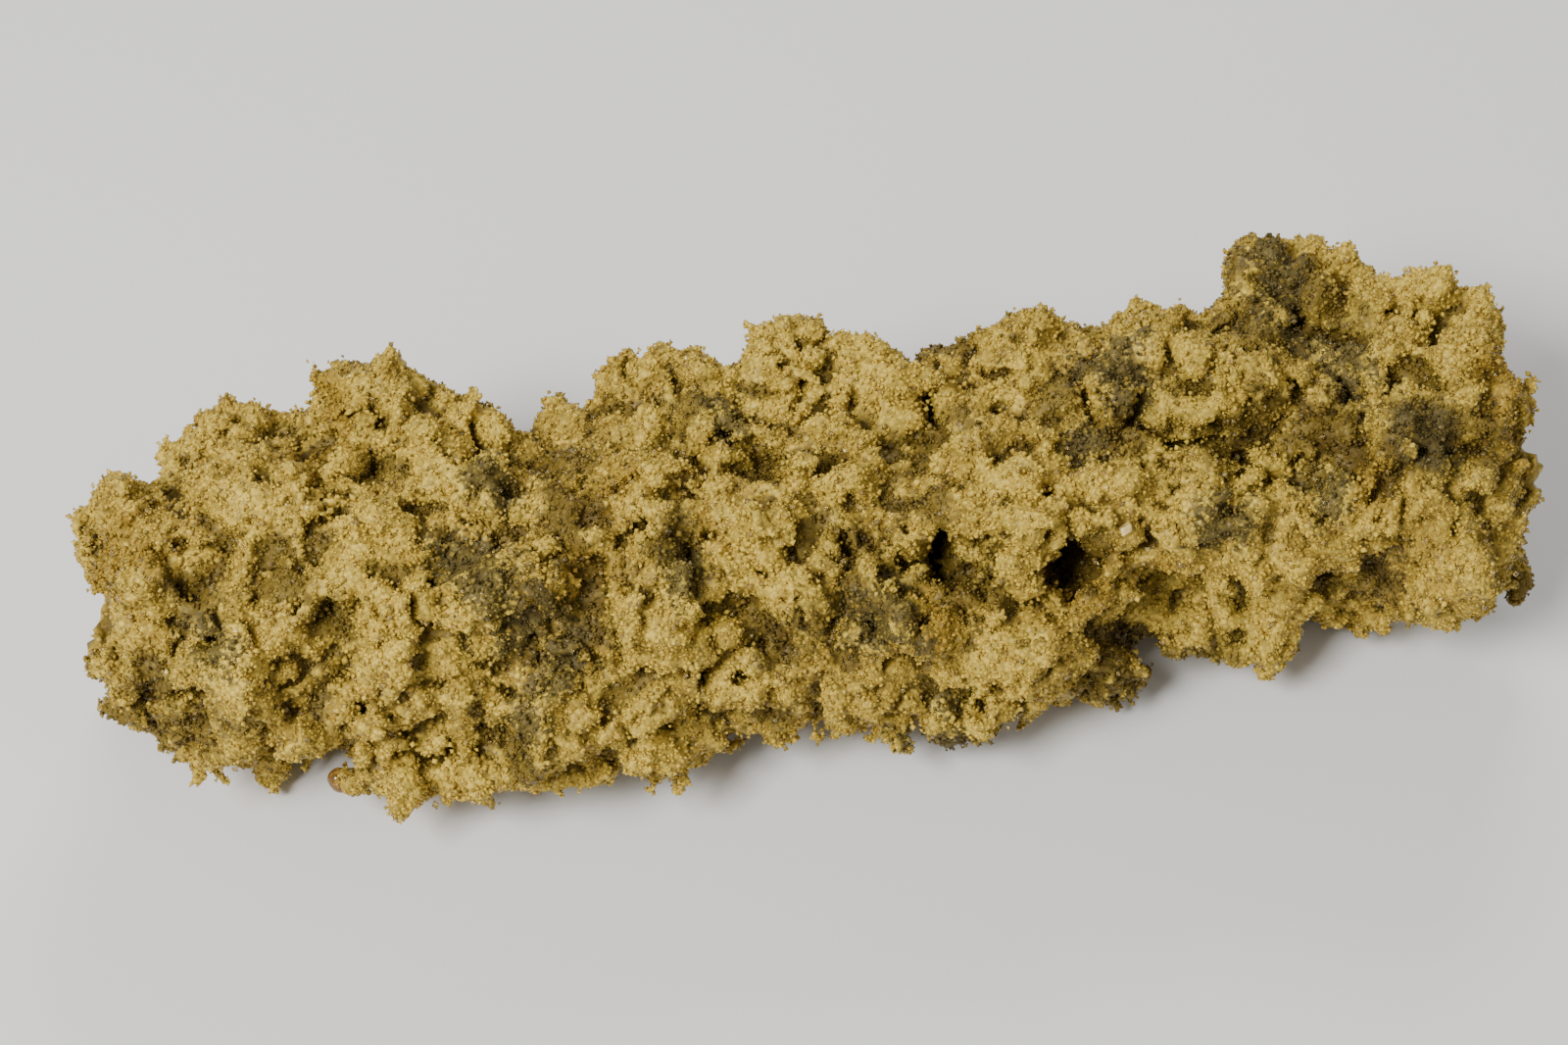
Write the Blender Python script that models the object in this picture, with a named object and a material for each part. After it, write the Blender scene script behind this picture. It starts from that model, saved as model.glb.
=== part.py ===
"""A sand fulgurite: one lumpy tube of lightning-fused sand, broken off at both ends.

The tube lies along X and rests at Z = 0 on the worn undersides of its own knobs. A glassy
channel, the path of the lightning, runs through it from end to end. Ragged hollows pit the
crust, and some of them break through into the channel. It formed as one piece of glass and
sand, so it is one object.

Lengths in the tables are millimetres. A clock angle is measured round the tube's axis from
+Y, the back, towards +Z, the top: 90 is the top, 180 the front and 270 the underside.
"""

import math
import random

import bmesh
import bpy
from mathutils import Matrix, Vector, noise

MM = 0.001

# The tube as a whole
LENGTH = 88.0
CORE_INSET = 1.7
AXIS_HEIGHT = 10.9
SQUASH = 0.86
CORE_SIDES = 40
CORE_RINGS = 60

# The lightning channel through it: it wanders off the axis, and its wall is fluted
CHANNEL_RADIUS = 3.5
CHANNEL_OVERRUN = 6.0
CHANNEL_WANDER = 1.3
WANDER_LENGTH = 15.0
WANDER_BACK_AT = 3.1
WANDER_UP_AT = 9.7
FLUTE_DEPTH = 1.0
FLUTE_LENGTH = 6.0
FLUTES_ROUND = 1.4
CHANNEL_SIDES = 24
CHANNEL_RINGS = 48

# The skin that joins the knobs, and how finely it is divided
VOXEL = 0.6
WARP_SCALE = 7.0
WARP_DEPTH = 3.2
MOST_TRIANGLES = 9600

# Two sizes of roughness: how broad the swellings are, and how far they stand
SWELLINGS = ((4.6, 2.4), (2.0, 1.5))

# How a ball is stretched lengthwise and sideways, and upwards
STRETCH_FLAT = (0.85, 1.2)
STRETCH_UP = (0.8, 1.1)

# The ground it rests on
GROUND_SIZE = (200.0, 100.0, 10.0)

# Where along the tube, how far its middle lies back, and its half width there
CORE_STATIONS = (
    (-44.0, 0.9, 8.8),
    (-39.0, 1.2, 10.6),
    (-33.0, 0.8, 11.6),
    (-26.0, 0.0, 12.4),
    (-19.0, -1.4, 11.6),
    (-12.0, -1.6, 11.4),
    (-5.0, 0.0, 11.4),
    (2.0, -0.2, 11.2),
    (9.0, -0.5, 11.4),
    (16.0, 0.2, 11.0),
    (23.0, 1.2, 10.6),
    (30.0, 1.7, 11.4),
    (37.0, 1.0, 10.8),
    (44.0, 0.6, 9.2),
)

# Knobs along its upper back edge: along the tube, clock angle, distance out, radius
BACK_KNOBS = (
    (-39.6, 45, 6.8, 3.9),
    (-36.0, 40, 8.8, 3.6),
    (-33.2, 38, 9.5, 3.2),
    (-29.2, 38, 10.2, 3.8),
    (-26.0, 38, 11.0, 3.9),
    (-22.6, 40, 9.4, 3.3),
    (-19.0, 42, 8.3, 3.0),
    (-13.6, 40, 9.5, 3.2),
    (-10.2, 38, 10.1, 3.6),
    (-6.5, 42, 9.8, 3.6),
    (-1.8, 38, 10.3, 3.8),
    (3.4, 38, 10.0, 3.8),
    (8.0, 36, 10.0, 3.3),
    (12.0, 38, 9.8, 3.4),
    (15.2, 36, 10.2, 3.3),
    (19.5, 38, 9.4, 3.2),
    (23.2, 38, 9.2, 3.2),
    (27.6, 36, 10.7, 3.8),
    (31.0, 38, 11.4, 3.9),
    (35.0, 40, 10.3, 3.8),
    (39.0, 40, 9.3, 3.7),
    (41.2, 42, 8.6, 3.6),
)

# Knobs along its lower front edge
FRONT_KNOBS = (
    (-39.6, 205, 7.2, 3.4),
    (-38.0, 212, 8.4, 2.8),
    (-32.6, 210, 9.2, 3.2),
    (-29.5, 208, 9.6, 3.6),
    (-26.5, 210, 10.4, 3.8),
    (-22.5, 210, 10.2, 3.6),
    (-17.5, 210, 9.9, 3.6),
    (-13.4, 208, 9.4, 3.2),
    (-9.5, 205, 8.4, 3.0),
    (-3.5, 210, 9.5, 3.4),
    (0.5, 208, 8.5, 3.0),
    (4.5, 210, 9.0, 3.2),
    (8.0, 210, 9.6, 3.4),
    (11.8, 208, 8.8, 3.2),
    (14.6, 216, 9.7, 2.6),
    (18.5, 224, 9.6, 2.4),
    (22.5, 224, 9.8, 2.4),
    (26.5, 222, 10.0, 2.4),
    (31.5, 208, 9.0, 3.0),
    (36.0, 206, 8.2, 3.0),
    (40.0, 205, 6.4, 3.0),
)

# Lumps over its upper front
LUMPS = (
    (-40.2, 120, 6.4, 4.6),
    (-40.6, 165, 5.8, 4.4),
    (-40.8, 70, 5.6, 4.4),
    (-33.0, 98, 8.4, 4.2),
    (-34.5, 150, 8.2, 4.6),
    (-27.0, 108, 9.2, 4.4),
    (-26.0, 162, 9.0, 4.2),
    (-31.0, 178, 8.8, 3.4),
    (-19.0, 128, 8.6, 4.0),
    (-18.0, 176, 9.0, 3.8),
    (-20.0, 88, 8.4, 3.4),
    (-12.0, 152, 8.6, 3.8),
    (-11.0, 98, 8.8, 3.6),
    (-5.0, 124, 8.2, 4.0),
    (-4.0, 176, 8.8, 3.6),
    (0.0, 92, 8.8, 3.6),
    (1.5, 166, 8.6, 3.4),
    (10.5, 120, 9.4, 3.6),
    (13.5, 88, 8.4, 3.6),
    (8.5, 176, 8.8, 3.6),
    (16.5, 128, 9.4, 2.8),
    (20.4, 130, 9.4, 2.9),
    (24.6, 132, 9.4, 3.0),
    (20.5, 80, 9.6, 3.4),
    (24.0, 84, 9.8, 3.6),
    (27.6, 82, 9.6, 3.3),
    (31.0, 142, 8.8, 4.4),
    (36.5, 124, 8.4, 4.4),
    (37.2, 165, 8.2, 4.2),
    (40.4, 96, 7.4, 4.2),
    (40.6, 170, 5.6, 4.0),
    (35.0, 78, 8.2, 3.2),
)

# Knobs underneath, whose worn undersides it rests on
FEET = (
    (-35.0, 246, 9.8, 3.6),
    (-33.0, 292, 10.0, 3.6),
    (-21.0, 264, 9.9, 3.4),
    (-9.0, 292, 10.0, 3.4),
    (-5.0, 244, 10.0, 3.2),
    (8.0, 264, 9.8, 3.4),
    (20.0, 296, 10.0, 3.2),
    (25.0, 248, 9.8, 3.2),
    (35.0, 290, 9.8, 3.6),
    (34.0, 246, 9.6, 3.2),
)

# Hollows in the crust
HOLLOWS = (
    (-36.3, 202, 11.6, 1.9),
    (-36.2, 184, 12.2, 1.5),
    (-34.2, 214, 11.6, 2.4),
    (-30.8, 224, 12.2, 2.3),
    (-15.8, 56, 12.8, 2.8),
    (-15.0, 132, 12.2, 1.9),
    (-27.8, 156, 12.4, 1.5),
    (-7.6, 146, 11.8, 1.7),
    (5.8, 128, 11.4, 1.9),
    (6.3, 130, 8.6, 1.8),
    (6.6, 132, 6.2, 1.6),
    (8.2, 138, 11.2, 1.5),
    (13.1, 139, 11.2, 1.7),
    (13.4, 143, 8.6, 1.6),
    (13.6, 148, 6.2, 1.5),
    (6.3, 78, 12.2, 2.2),
    (15.8, 178, 11.2, 2.6),
    (18.8, 185, 11.0, 3.5),
    (22.4, 190, 11.2, 3.5),
    (25.8, 196, 11.4, 3.2),
    (28.6, 200, 11.6, 2.2),
    (19.8, 182, 7.8, 3.0),
    (23.8, 188, 8.0, 3.0),
    (20.0, 108, 12.2, 1.9),
    (24.4, 111, 12.0, 2.0),
    (28.6, 118, 12.2, 1.6),
    (31.6, 74, 12.0, 1.7),
    (31.4, 172, 10.4, 1.6),
    (31.2, 160, 7.4, 1.5),
)

# Smaller knobs and hollows, spread by chance over all but the very ends of the crust
CHANCE_REACH = 41.4
CHANCE_KNOBS = 250
CHANCE_KNOB_RADII = (1.4, 3.0)
CHANCE_KNOB_SINK = 0.9
CHANCE_KNOB_SINK_SHARE = 0.35
CHANCE_HOLLOWS = 60
CHANCE_HOLLOW_RADII = (0.9, 1.8)
CHANCE_HOLLOW_RISE = 0.2
SEED = 11


def eased(low, high, share):
    """A value between two others, changing slowly near each."""
    return low + (high - low) * share * share * (3 - 2 * share)


def core_at(along):
    """How far back the tube's middle lies, and its half width, at a place along it."""
    along = min(max(along, CORE_STATIONS[0][0]), CORE_STATIONS[-1][0])
    for near, far in zip(CORE_STATIONS, CORE_STATIONS[1:]):
        if along <= far[0]:
            share = (along - near[0]) / (far[0] - near[0])
            return eased(near[1], far[1], share), eased(near[2], far[2], share)
    return CORE_STATIONS[-1][1:]


def point_at(along, clock, out):
    """A place in metres, from the distance along, the clock angle and the distance out."""
    back, _ = core_at(along)
    turn = math.radians(clock)
    height = AXIS_HEIGHT + SQUASH * out * math.sin(turn)
    return Vector((along, back + out * math.cos(turn), height)) * MM


def add_blob(mesh, centre, radius, rng):
    """Adds a small stretched ball round a place in metres."""
    sides = rng.uniform(*STRETCH_FLAT), rng.uniform(*STRETCH_FLAT), rng.uniform(*STRETCH_UP)
    stretch = Matrix.Diagonal((*sides, 1.0))
    turn = Matrix.Rotation(rng.uniform(0.0, math.tau), 4, "Z")
    place = Matrix.Translation(centre) @ turn @ stretch
    bmesh.ops.create_icosphere(mesh, subdivisions=2, radius=radius * MM, matrix=place)


def add_tube(mesh, along_places, sides, point):
    """Adds a capped tube; point gives a place from the distance along and the clock angle."""
    rings = []
    for along in along_places:
        rings.append([mesh.verts.new(point(along, 360.0 * i / sides)) for i in range(sides)])
    for near, far in zip(rings, rings[1:]):
        for i in range(sides):
            j = (i + 1) % sides
            mesh.faces.new((near[i], near[j], far[j], far[i]))
    mesh.faces.new(reversed(rings[0]))
    mesh.faces.new(rings[-1])


def spread(count, reach):
    """Evenly spaced places from -reach to reach."""
    return [-reach + 2 * reach * i / count for i in range(count + 1)]


def add_object(name, mesh):
    """Adds an object that holds a bmesh, and frees the bmesh."""
    bmesh.ops.recalc_face_normals(mesh, faces=mesh.faces)
    data = bpy.data.meshes.new(name)
    mesh.to_mesh(data)
    mesh.free()
    made = bpy.data.objects.new(name, data)
    bpy.context.scene.collection.objects.link(made)
    return made


def add_cutter(name, mesh):
    """Adds an object that only cuts others and isn't rendered."""
    made = add_object(name, mesh)
    made.hide_render = True
    made.display_type = "WIRE"
    return made


def fuse(made):
    """Joins an object's overlapping shapes into one skin."""
    remesh = made.modifiers.new("fuse", "REMESH")
    remesh.mode = "VOXEL"
    remesh.voxel_size = VOXEL * MM


def cloud_texture(scale, tint):
    """A cloudy texture, grey or coloured, whose clouds are this broad."""
    clouds = bpy.data.textures.new(f"clouds_{scale}", "CLOUDS")
    clouds.noise_scale = scale * MM
    clouds.noise_depth = 1
    clouds.cloud_type = tint
    return clouds


def warp(made):
    """Pushes an object's skin about sideways, so that no ball stays round."""
    displace = made.modifiers.new("warp", "DISPLACE")
    displace.texture = cloud_texture(WARP_SCALE, "COLOR")
    displace.texture_coords = "GLOBAL"
    displace.direction = "RGB_TO_XYZ"
    displace.strength = WARP_DEPTH * MM
    displace.mid_level = 0.5


def swell(made):
    """Raises and sinks an object's skin, broadly and then finely."""
    for breadth, depth in SWELLINGS:
        displace = made.modifiers.new(f"swell_{breadth}", "DISPLACE")
        displace.texture = cloud_texture(breadth, "GRAYSCALE")
        displace.texture_coords = "GLOBAL"
        displace.strength = depth * MM
        displace.mid_level = 0.5


def cut(made, cutter):
    """Takes one object's shape out of another."""
    boolean = made.modifiers.new(f"less_{cutter.name}", "BOOLEAN")
    boolean.operation = "DIFFERENCE"
    boolean.solver = "EXACT"
    boolean.object = cutter


def add_crust():
    """The outside: the core of the tube, its knobs and feet, and the small knobs over them."""
    rng = random.Random(SEED)
    mesh = bmesh.new()

    def point(along, clock):
        return point_at(along, clock, core_at(along)[1] - CORE_INSET)

    add_tube(mesh, spread(CORE_RINGS, LENGTH / 2 - CORE_INSET), CORE_SIDES, point)
    for along, clock, out, radius in BACK_KNOBS + FRONT_KNOBS + LUMPS + FEET:
        add_blob(mesh, point_at(along, clock, out), radius, rng)
    for _ in range(CHANCE_KNOBS):
        along = rng.uniform(-CHANCE_REACH, CHANCE_REACH)
        clock = rng.uniform(0.0, 360.0)
        radius = rng.uniform(*CHANCE_KNOB_RADII)
        out = core_at(along)[1] - CHANCE_KNOB_SINK - CHANCE_KNOB_SINK_SHARE * radius
        add_blob(mesh, point_at(along, clock, out), radius, rng)
    crust = add_object("fulgurite", mesh)
    fuse(crust)
    warp(crust)
    swell(crust)
    fuse(crust)
    return crust


def add_channel(mesh):
    """Adds the lightning channel: a wandering, slightly fluted hole through the whole tube."""

    def point(along, clock):
        far = along / WANDER_LENGTH
        back = noise.noise((far, WANDER_BACK_AT, 0.0))
        up = noise.noise((far, WANDER_UP_AT, 0.0))
        drift = Vector((0.0, back, up)) * CHANNEL_WANDER
        turn = math.radians(clock)
        side = Vector((0.0, math.cos(turn), math.sin(turn)))
        flute = noise.noise(Vector((along / FLUTE_LENGTH, 0.0, 0.0)) + side * FLUTES_ROUND)
        reach = CHANNEL_RADIUS + FLUTE_DEPTH * flute
        return point_at(along, 0.0, 0.0) + (drift + side * reach) * MM

    add_tube(mesh, spread(CHANNEL_RINGS, LENGTH / 2 + CHANNEL_OVERRUN), CHANNEL_SIDES, point)


def add_hollows():
    """What the crust lacks: the channel, and the hollows in its outside."""
    rng = random.Random(SEED + 1)
    mesh = bmesh.new()
    add_channel(mesh)
    for along, clock, out, radius in HOLLOWS:
        add_blob(mesh, point_at(along, clock, out), radius, rng)
    for _ in range(CHANCE_HOLLOWS):
        along = rng.uniform(-CHANCE_REACH, CHANCE_REACH)
        clock = rng.uniform(0.0, 360.0)
        radius = rng.uniform(*CHANCE_HOLLOW_RADII)
        out = core_at(along)[1] + CHANCE_HOLLOW_RISE
        add_blob(mesh, point_at(along, clock, out), radius, rng)
    hollows = add_cutter("hollows", mesh)
    fuse(hollows)
    warp(hollows)
    fuse(hollows)
    return hollows


def add_ground():
    """The ground it lay and wore on, which cuts its lowest knobs flat at Z = 0."""
    mesh = bmesh.new()
    size = Vector(GROUND_SIZE) * MM
    place = Matrix.Translation((0.0, 0.0, -size.z / 2)) @ Matrix.Diagonal((*size, 1.0))
    bmesh.ops.create_cube(mesh, size=1.0, matrix=place)
    return add_cutter("ground", mesh)


def islands(mesh):
    """The separate skins of a bmesh, as lists of faces."""
    unseen = set(mesh.faces)
    found = []
    while unseen:
        queue = [unseen.pop()]
        island = []
        while queue:
            face = queue.pop()
            island.append(face)
            beside = {other for edge in face.edges for other in edge.link_faces} & unseen
            unseen -= beside
            queue.extend(beside)
        found.append(island)
    return found


def centre(mesh):
    """Moves a bmesh along X and Y so that its bounding box is centred on the Z axis."""
    for side in (0, 1):
        places = [vert.co[side] for vert in mesh.verts]
        middle = (min(places) + max(places)) / 2
        for vert in mesh.verts:
            vert.co[side] -= middle


def settle(made):
    """Makes an object's modifiers permanent, drops any loose crumb and centres what is left."""
    fuse(made)
    graph = bpy.context.evaluated_depsgraph_get()
    mesh = bmesh.new()
    mesh.from_object(made, graph)
    found = sorted(islands(mesh), key=len)
    loose = [face for island in found[:-1] for face in island]
    bmesh.ops.delete(mesh, geom=loose, context="FACES")
    centre(mesh)
    made.modifiers.clear()
    mesh.to_mesh(made.data)
    mesh.free()


def simplify(made):
    """Divides an object's skin into no more triangles than are wanted."""
    triangles = sum(len(face.vertices) - 2 for face in made.data.polygons)
    decimate = made.modifiers.new("simplify", "DECIMATE")
    decimate.ratio = MOST_TRIANGLES / triangles
    decimate.use_collapse_triangulate = True


def finish(made):
    """Gives an object the look of fused sand."""
    material = bpy.data.materials.new("fused_sand")
    material.use_nodes = True
    shader = material.node_tree.nodes["Principled BSDF"]
    shader.inputs["Base Color"].default_value = (0.25, 0.164, 0.044, 1.0)
    shader.inputs["Metallic"].default_value = 0.0
    shader.inputs["Roughness"].default_value = 0.6
    made.data.materials.clear()
    made.data.materials.append(material)


def main():
    for old in list(bpy.data.objects):
        bpy.data.objects.remove(old)
    fulgurite = add_crust()
    cut(fulgurite, add_hollows())
    settle(fulgurite)
    simplify(fulgurite)
    cut(fulgurite, add_ground())
    finish(fulgurite)


main()
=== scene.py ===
"""A sand fulgurite: a crumbly tube of sand that lightning fused, lying on a pale floor.

The crust is grown round the CAD solid as one skin of lumps, folds and pores, and tens of
thousands of sand grains are stuck over it. Glassy patches and cream and honey-coloured sand
colour both, with brown patches that are partly painted shade, painted brown shade in the
hollows and painted cream highlights on the proud places. Lengths are millimetres unless a
name says otherwise, and meshes are written in metres.
"""

import logging
import math
from collections.abc import Sequence
from dataclasses import dataclass, field
from enum import Enum

import bmesh
import bpy
import numpy as np
from mathutils import Matrix, Vector, noise
from mathutils.bvhtree import BVHTree


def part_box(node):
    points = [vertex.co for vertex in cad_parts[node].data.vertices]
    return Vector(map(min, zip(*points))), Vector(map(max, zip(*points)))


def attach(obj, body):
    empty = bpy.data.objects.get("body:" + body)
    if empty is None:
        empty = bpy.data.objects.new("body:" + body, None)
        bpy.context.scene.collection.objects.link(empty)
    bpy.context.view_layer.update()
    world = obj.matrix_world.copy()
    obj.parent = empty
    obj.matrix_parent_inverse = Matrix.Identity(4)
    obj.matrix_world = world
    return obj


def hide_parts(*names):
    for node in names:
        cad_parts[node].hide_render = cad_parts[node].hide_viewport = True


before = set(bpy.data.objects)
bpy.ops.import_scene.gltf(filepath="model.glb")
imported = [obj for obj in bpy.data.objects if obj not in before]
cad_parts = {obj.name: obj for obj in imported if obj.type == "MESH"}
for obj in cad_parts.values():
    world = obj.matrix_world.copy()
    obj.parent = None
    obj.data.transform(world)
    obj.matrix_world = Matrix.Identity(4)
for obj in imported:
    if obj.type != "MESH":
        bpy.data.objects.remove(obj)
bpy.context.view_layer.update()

LOG = logging.getLogger("fulgurite")
MM = 0.001
Colour = tuple[float, float, float]
Spot = tuple[int, int, float]


class Stain(Enum):
    """The colour zones of the crust, each by the attribute that holds its strength."""

    CREAM = "cream"
    # Brown: partly real brown sand, partly painted shade in hollows and under overhangs.
    BROWN = "brown"
    ASH = "ash"
    AMBER = "amber"


class Grade(Enum):
    """The sizes and kinds of grain, each by the name of its pieces."""

    COARSE = "grains_coarse"
    FINE = "grains_fine"
    CLEAR = "grains_clear"
    SUGAR = "grains_sugar"


@dataclass(frozen=True)
class Knob:
    """A knob of the crust: a ball, placed by its pixel in the camera's view.

    Proud is the share of it that stands out, below 0 where it hides behind what is seen
    first, and tuck is how far it is drawn in towards the tube's middle line.
    """

    column: int
    row: int
    radius: float
    proud: float
    tuck: float = 0.0


@dataclass(frozen=True)
class Gap:
    """A gap that runs into the crust, placed by the pixels of its mouth's two ends."""

    column: int
    row: int
    to_column: int
    to_row: int
    half_width: float
    depth: float


# Where each colour shows: its column and row in the camera's view, and its radius
SEEN_SPOTS: dict[Stain, tuple[Spot, ...]] = {
    Stain.CREAM: (
        (440, 455, 2.3), (280, 476, 1.5), (350, 490, 1.9), (260, 520, 1.9), (380, 560, 3.0),
        (370, 640, 1.9), (440, 655, 2.3), (240, 685, 1.5), (476, 453, 2.0), (770, 358, 2.3),
        (880, 358, 3.4), (770, 400, 1.4), (660, 440, 1.7), (830, 500, 1.9), (785, 565, 2.7),
        (700, 620, 2.3), (680, 670, 1.9), (740, 690, 1.5), (845, 383, 2.3), (655, 755, 1.9),
        (1030, 395, 1.5), (1030, 500, 2.1), (1040, 545, 2.1), (937, 453, 1.7), (1115, 490, 1.9),
        (1180, 495, 2.3), (1010, 685, 1.9), (980, 735, 1.5), (914, 578, 1.5), (1430, 295, 2.3),
        (1470, 300, 2.7), (1262, 602, 3.0), (1500, 515, 1.5), (1226, 383, 2.3), (470, 790, 1.5),
        (425, 810, 1.5), (1410, 560, 1.5), (1469, 320, 1.7), (1300, 490, 1.9), (1350, 490, 1.5),
        (719, 633, 1.4), (1180, 609, 1.5), (1437, 380, 1.9), (976, 711, 2.0), (422, 766, 1.5),
        (1265, 609, 1.8), (625, 711, 1.4),
    ),
    # Brown zones are partly real brown sand and partly painted shade, in shadowed grooves and hollows
    # and under overhanging lobes.
    Stain.BROWN: (
        (570, 455, 1.9), (580, 525, 1.9), (870, 560, 2.1), (900, 600, 2.9), (1180, 430, 3.0),
        (1460, 430, 2.9), (1250, 445, 3.2), (1350, 445, 2.7), (820, 640, 1.5), (690, 550, 1.4),
        (790, 745, 1.1), (1100, 560, 1.5), (200, 610, 1.5), (150, 700, 2.3), (330, 610, 1.4),
        (290, 590, 1.4), (700, 430, 1.7), (800, 460, 1.3), (600, 660, 1.7), (150, 740, 2.0),
        (200, 765, 1.6), (1420, 612, 1.9), (797, 672, 1.7), (1250, 300, 1.9), (1330, 320, 1.6),
        (1510, 460, 1.9), (1287, 341, 1.5), (969, 422, 1.7), (1078, 409, 1.4), (953, 516, 1.2),
        (523, 766, 1.7), (234, 734, 1.4), (1406, 625, 1.8), (992, 601, 1.5), (1383, 328, 1.7),
        (156, 750, 1.8), (1130, 710, 2.0), (1150, 706, 1.8), (1190, 700, 1.8), (1232, 690, 1.8),
        (1268, 684, 1.5),
    ),
    Stain.ASH: (
        (505, 490, 1.7), (485, 570, 2.1), (540, 640, 2.7), (570, 690, 1.5), (700, 580, 1.5),
        (740, 440, 1.2), (900, 650, 2.2), (1335, 352, 1.6), (1385, 376, 1.8), (1245, 540, 1.9),
        (1460, 445, 1.7), (215, 655, 1.4), (1110, 440, 1.5), (1360, 510, 1.4), (1375, 341, 1.7),
        (1140, 367, 1.9), (1300, 292, 1.6), (530, 738, 1.2), (1110, 362, 1.3),
    ),
    Stain.AMBER: (
        (110, 560, 1.5), (160, 560, 1.5), (600, 580, 1.5), (330, 460, 1.5), (555, 615, 1.5),
        (620, 500, 1.5), (1105, 600, 2.1), (1540, 450, 1.9), (1300, 475, 1.5), (1530, 380, 1.4),
        (1196, 590, 1.7), (1400, 490, 1.7), (960, 640, 1.7),
    ),
}

# Knobs: column, row, radius, proud and tuck
KNOBS = tuple(Knob(*row) for row in (
    (228, 432, 1.8, 0.45), (262, 428, 1.2, 0.6), (345, 402, 1.8, 0.45),
    (392, 392, 2.2, 0.5), (425, 402, 1.3, 0.6), (372, 430, 2.4, 0.3),
    (465, 425, 1.6, 0.5), (505, 450, 1.5, 0.5), (240, 505, 2.7, 0.35),
    (268, 540, 1.6, 0.5), (355, 488, 1.3, 0.6), (125, 525, 2.2, 0.35),
    (150, 600, 2.2, 0.3), (232, 698, 1.8, 0.5), (300, 742, 2.1, 0.45),
    (340, 760, 1.6, 0.4), (410, 650, 2.8, 0.3), (470, 665, 2.2, 0.4),
    (420, 800, 1.6, 0.5), (475, 800, 1.5, 0.5), (170, 740, 1.8, 0.3),
    (225, 775, 1.3, 0.4), (563, 505, 1.3, 0.55), (575, 560, 1.2, 0.4),
    (655, 400, 1.4, 0.4, 0.7), (640, 430, 1.4, 0.3, 0.4), (722, 378, 1.6, 0.35, 0.7),
    (768, 372, 1.8, 0.35, 0.7), (790, 400, 1.7, 0.3, 0.4), (868, 385, 2.2, 0.4, 0.7),
    (905, 375, 1.9, 0.45, 0.5), (905, 425, 1.9, 0.5), (845, 495, 1.6, 0.5),
    (815, 490, 1.2, 0.45), (880, 490, 1.1, 0.55), (1015, 500, 2.1, 0.45),
    (1035, 550, 1.9, 0.6), (1000, 470, 1.8, 0.35), (920, 555, 1.7, 0.5),
    (925, 580, 1.2, 0.55), (1015, 398, 1.8, 0.5), (1050, 410, 1.5, 0.5),
    (1070, 440, 1.3, 0.4), (690, 650, 2.2, 0.4), (725, 640, 1.6, 0.35),
    (780, 708, 1.5, 0.55), (655, 757, 1.7, 0.5), (610, 790, 1.7, 0.4),
    (1000, 728, 1.8, 0.5), (1045, 728, 1.5, 0.5), (895, 712, 1.5, 0.4),
    (855, 735, 1.1, 0.5), (1045, 345, 1.7, 0.45), (1090, 350, 1.3, 0.45),
    (948, 355, 1.0, 0.5), (800, 585, 1.9, 0.35), (1040, 655, 2.5, 0.35),
    (1075, 640, 1.6, 0.4), (560, 800, 1.8, 0.35), (700, 730, 1.5, 0.45),
    (1290, 275, 1.9, 0.45), (1275, 310, 1.8, 0.35), (1325, 285, 1.5, 0.45),
    (1400, 302, 2.1, 0.45), (1465, 295, 2.1, 0.45), (1510, 312, 1.5, 0.45),
    (1235, 375, 2.1, 0.5), (1265, 400, 1.9, 0.5), (1225, 410, 1.5, 0.55),
    (1295, 395, 1.3, 0.5), (1348, 387, 0.8, 0.7), (1415, 405, 1.5, 0.45),
    (1425, 440, 1.3, 0.35), (1148, 345, 1.5, 0.5), (1165, 360, 1.2, 0.4),
    (1130, 500, 2.1, 0.3), (1190, 495, 2.1, 0.3), (1250, 500, 1.8, 0.25),
    (1555, 550, 1.2, 0.5), (1520, 590, 1.7, 0.35), (1470, 600, 1.8, 0.35),
    (1285, 655, 1.6, 0.45), (1255, 640, 1.3, 0.4), (1520, 400, 2.1, 0.3),
    (1540, 460, 1.6, 0.3), (1330, 560, 2.4, 0.25), (1180, 600, 2.2, 0.25),
    (1450, 520, 2.2, 0.25), (1530, 500, 1.2, 0.35), (165, 458, 1.7, 0.3),
    (192, 432, 1.3, 0.35, 0.4), (316, 403, 1.1, 0.4, 0.4), (1558, 548, 1.0, 0.4),
    (1398, 648, 1.3, 1.0, 0.5), (1440, 640, 1.1, 0.5), (1124, 712, 2.0, -0.95, 1.65),
    (1150, 706, 1.8, 0.55, 1.45), (1190, 700, 1.8, 0.55, 1.45),
    (1232, 690, 1.7, 0.55, 1.35), (1268, 684, 1.5, 0.45, 1.15),
))

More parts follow.
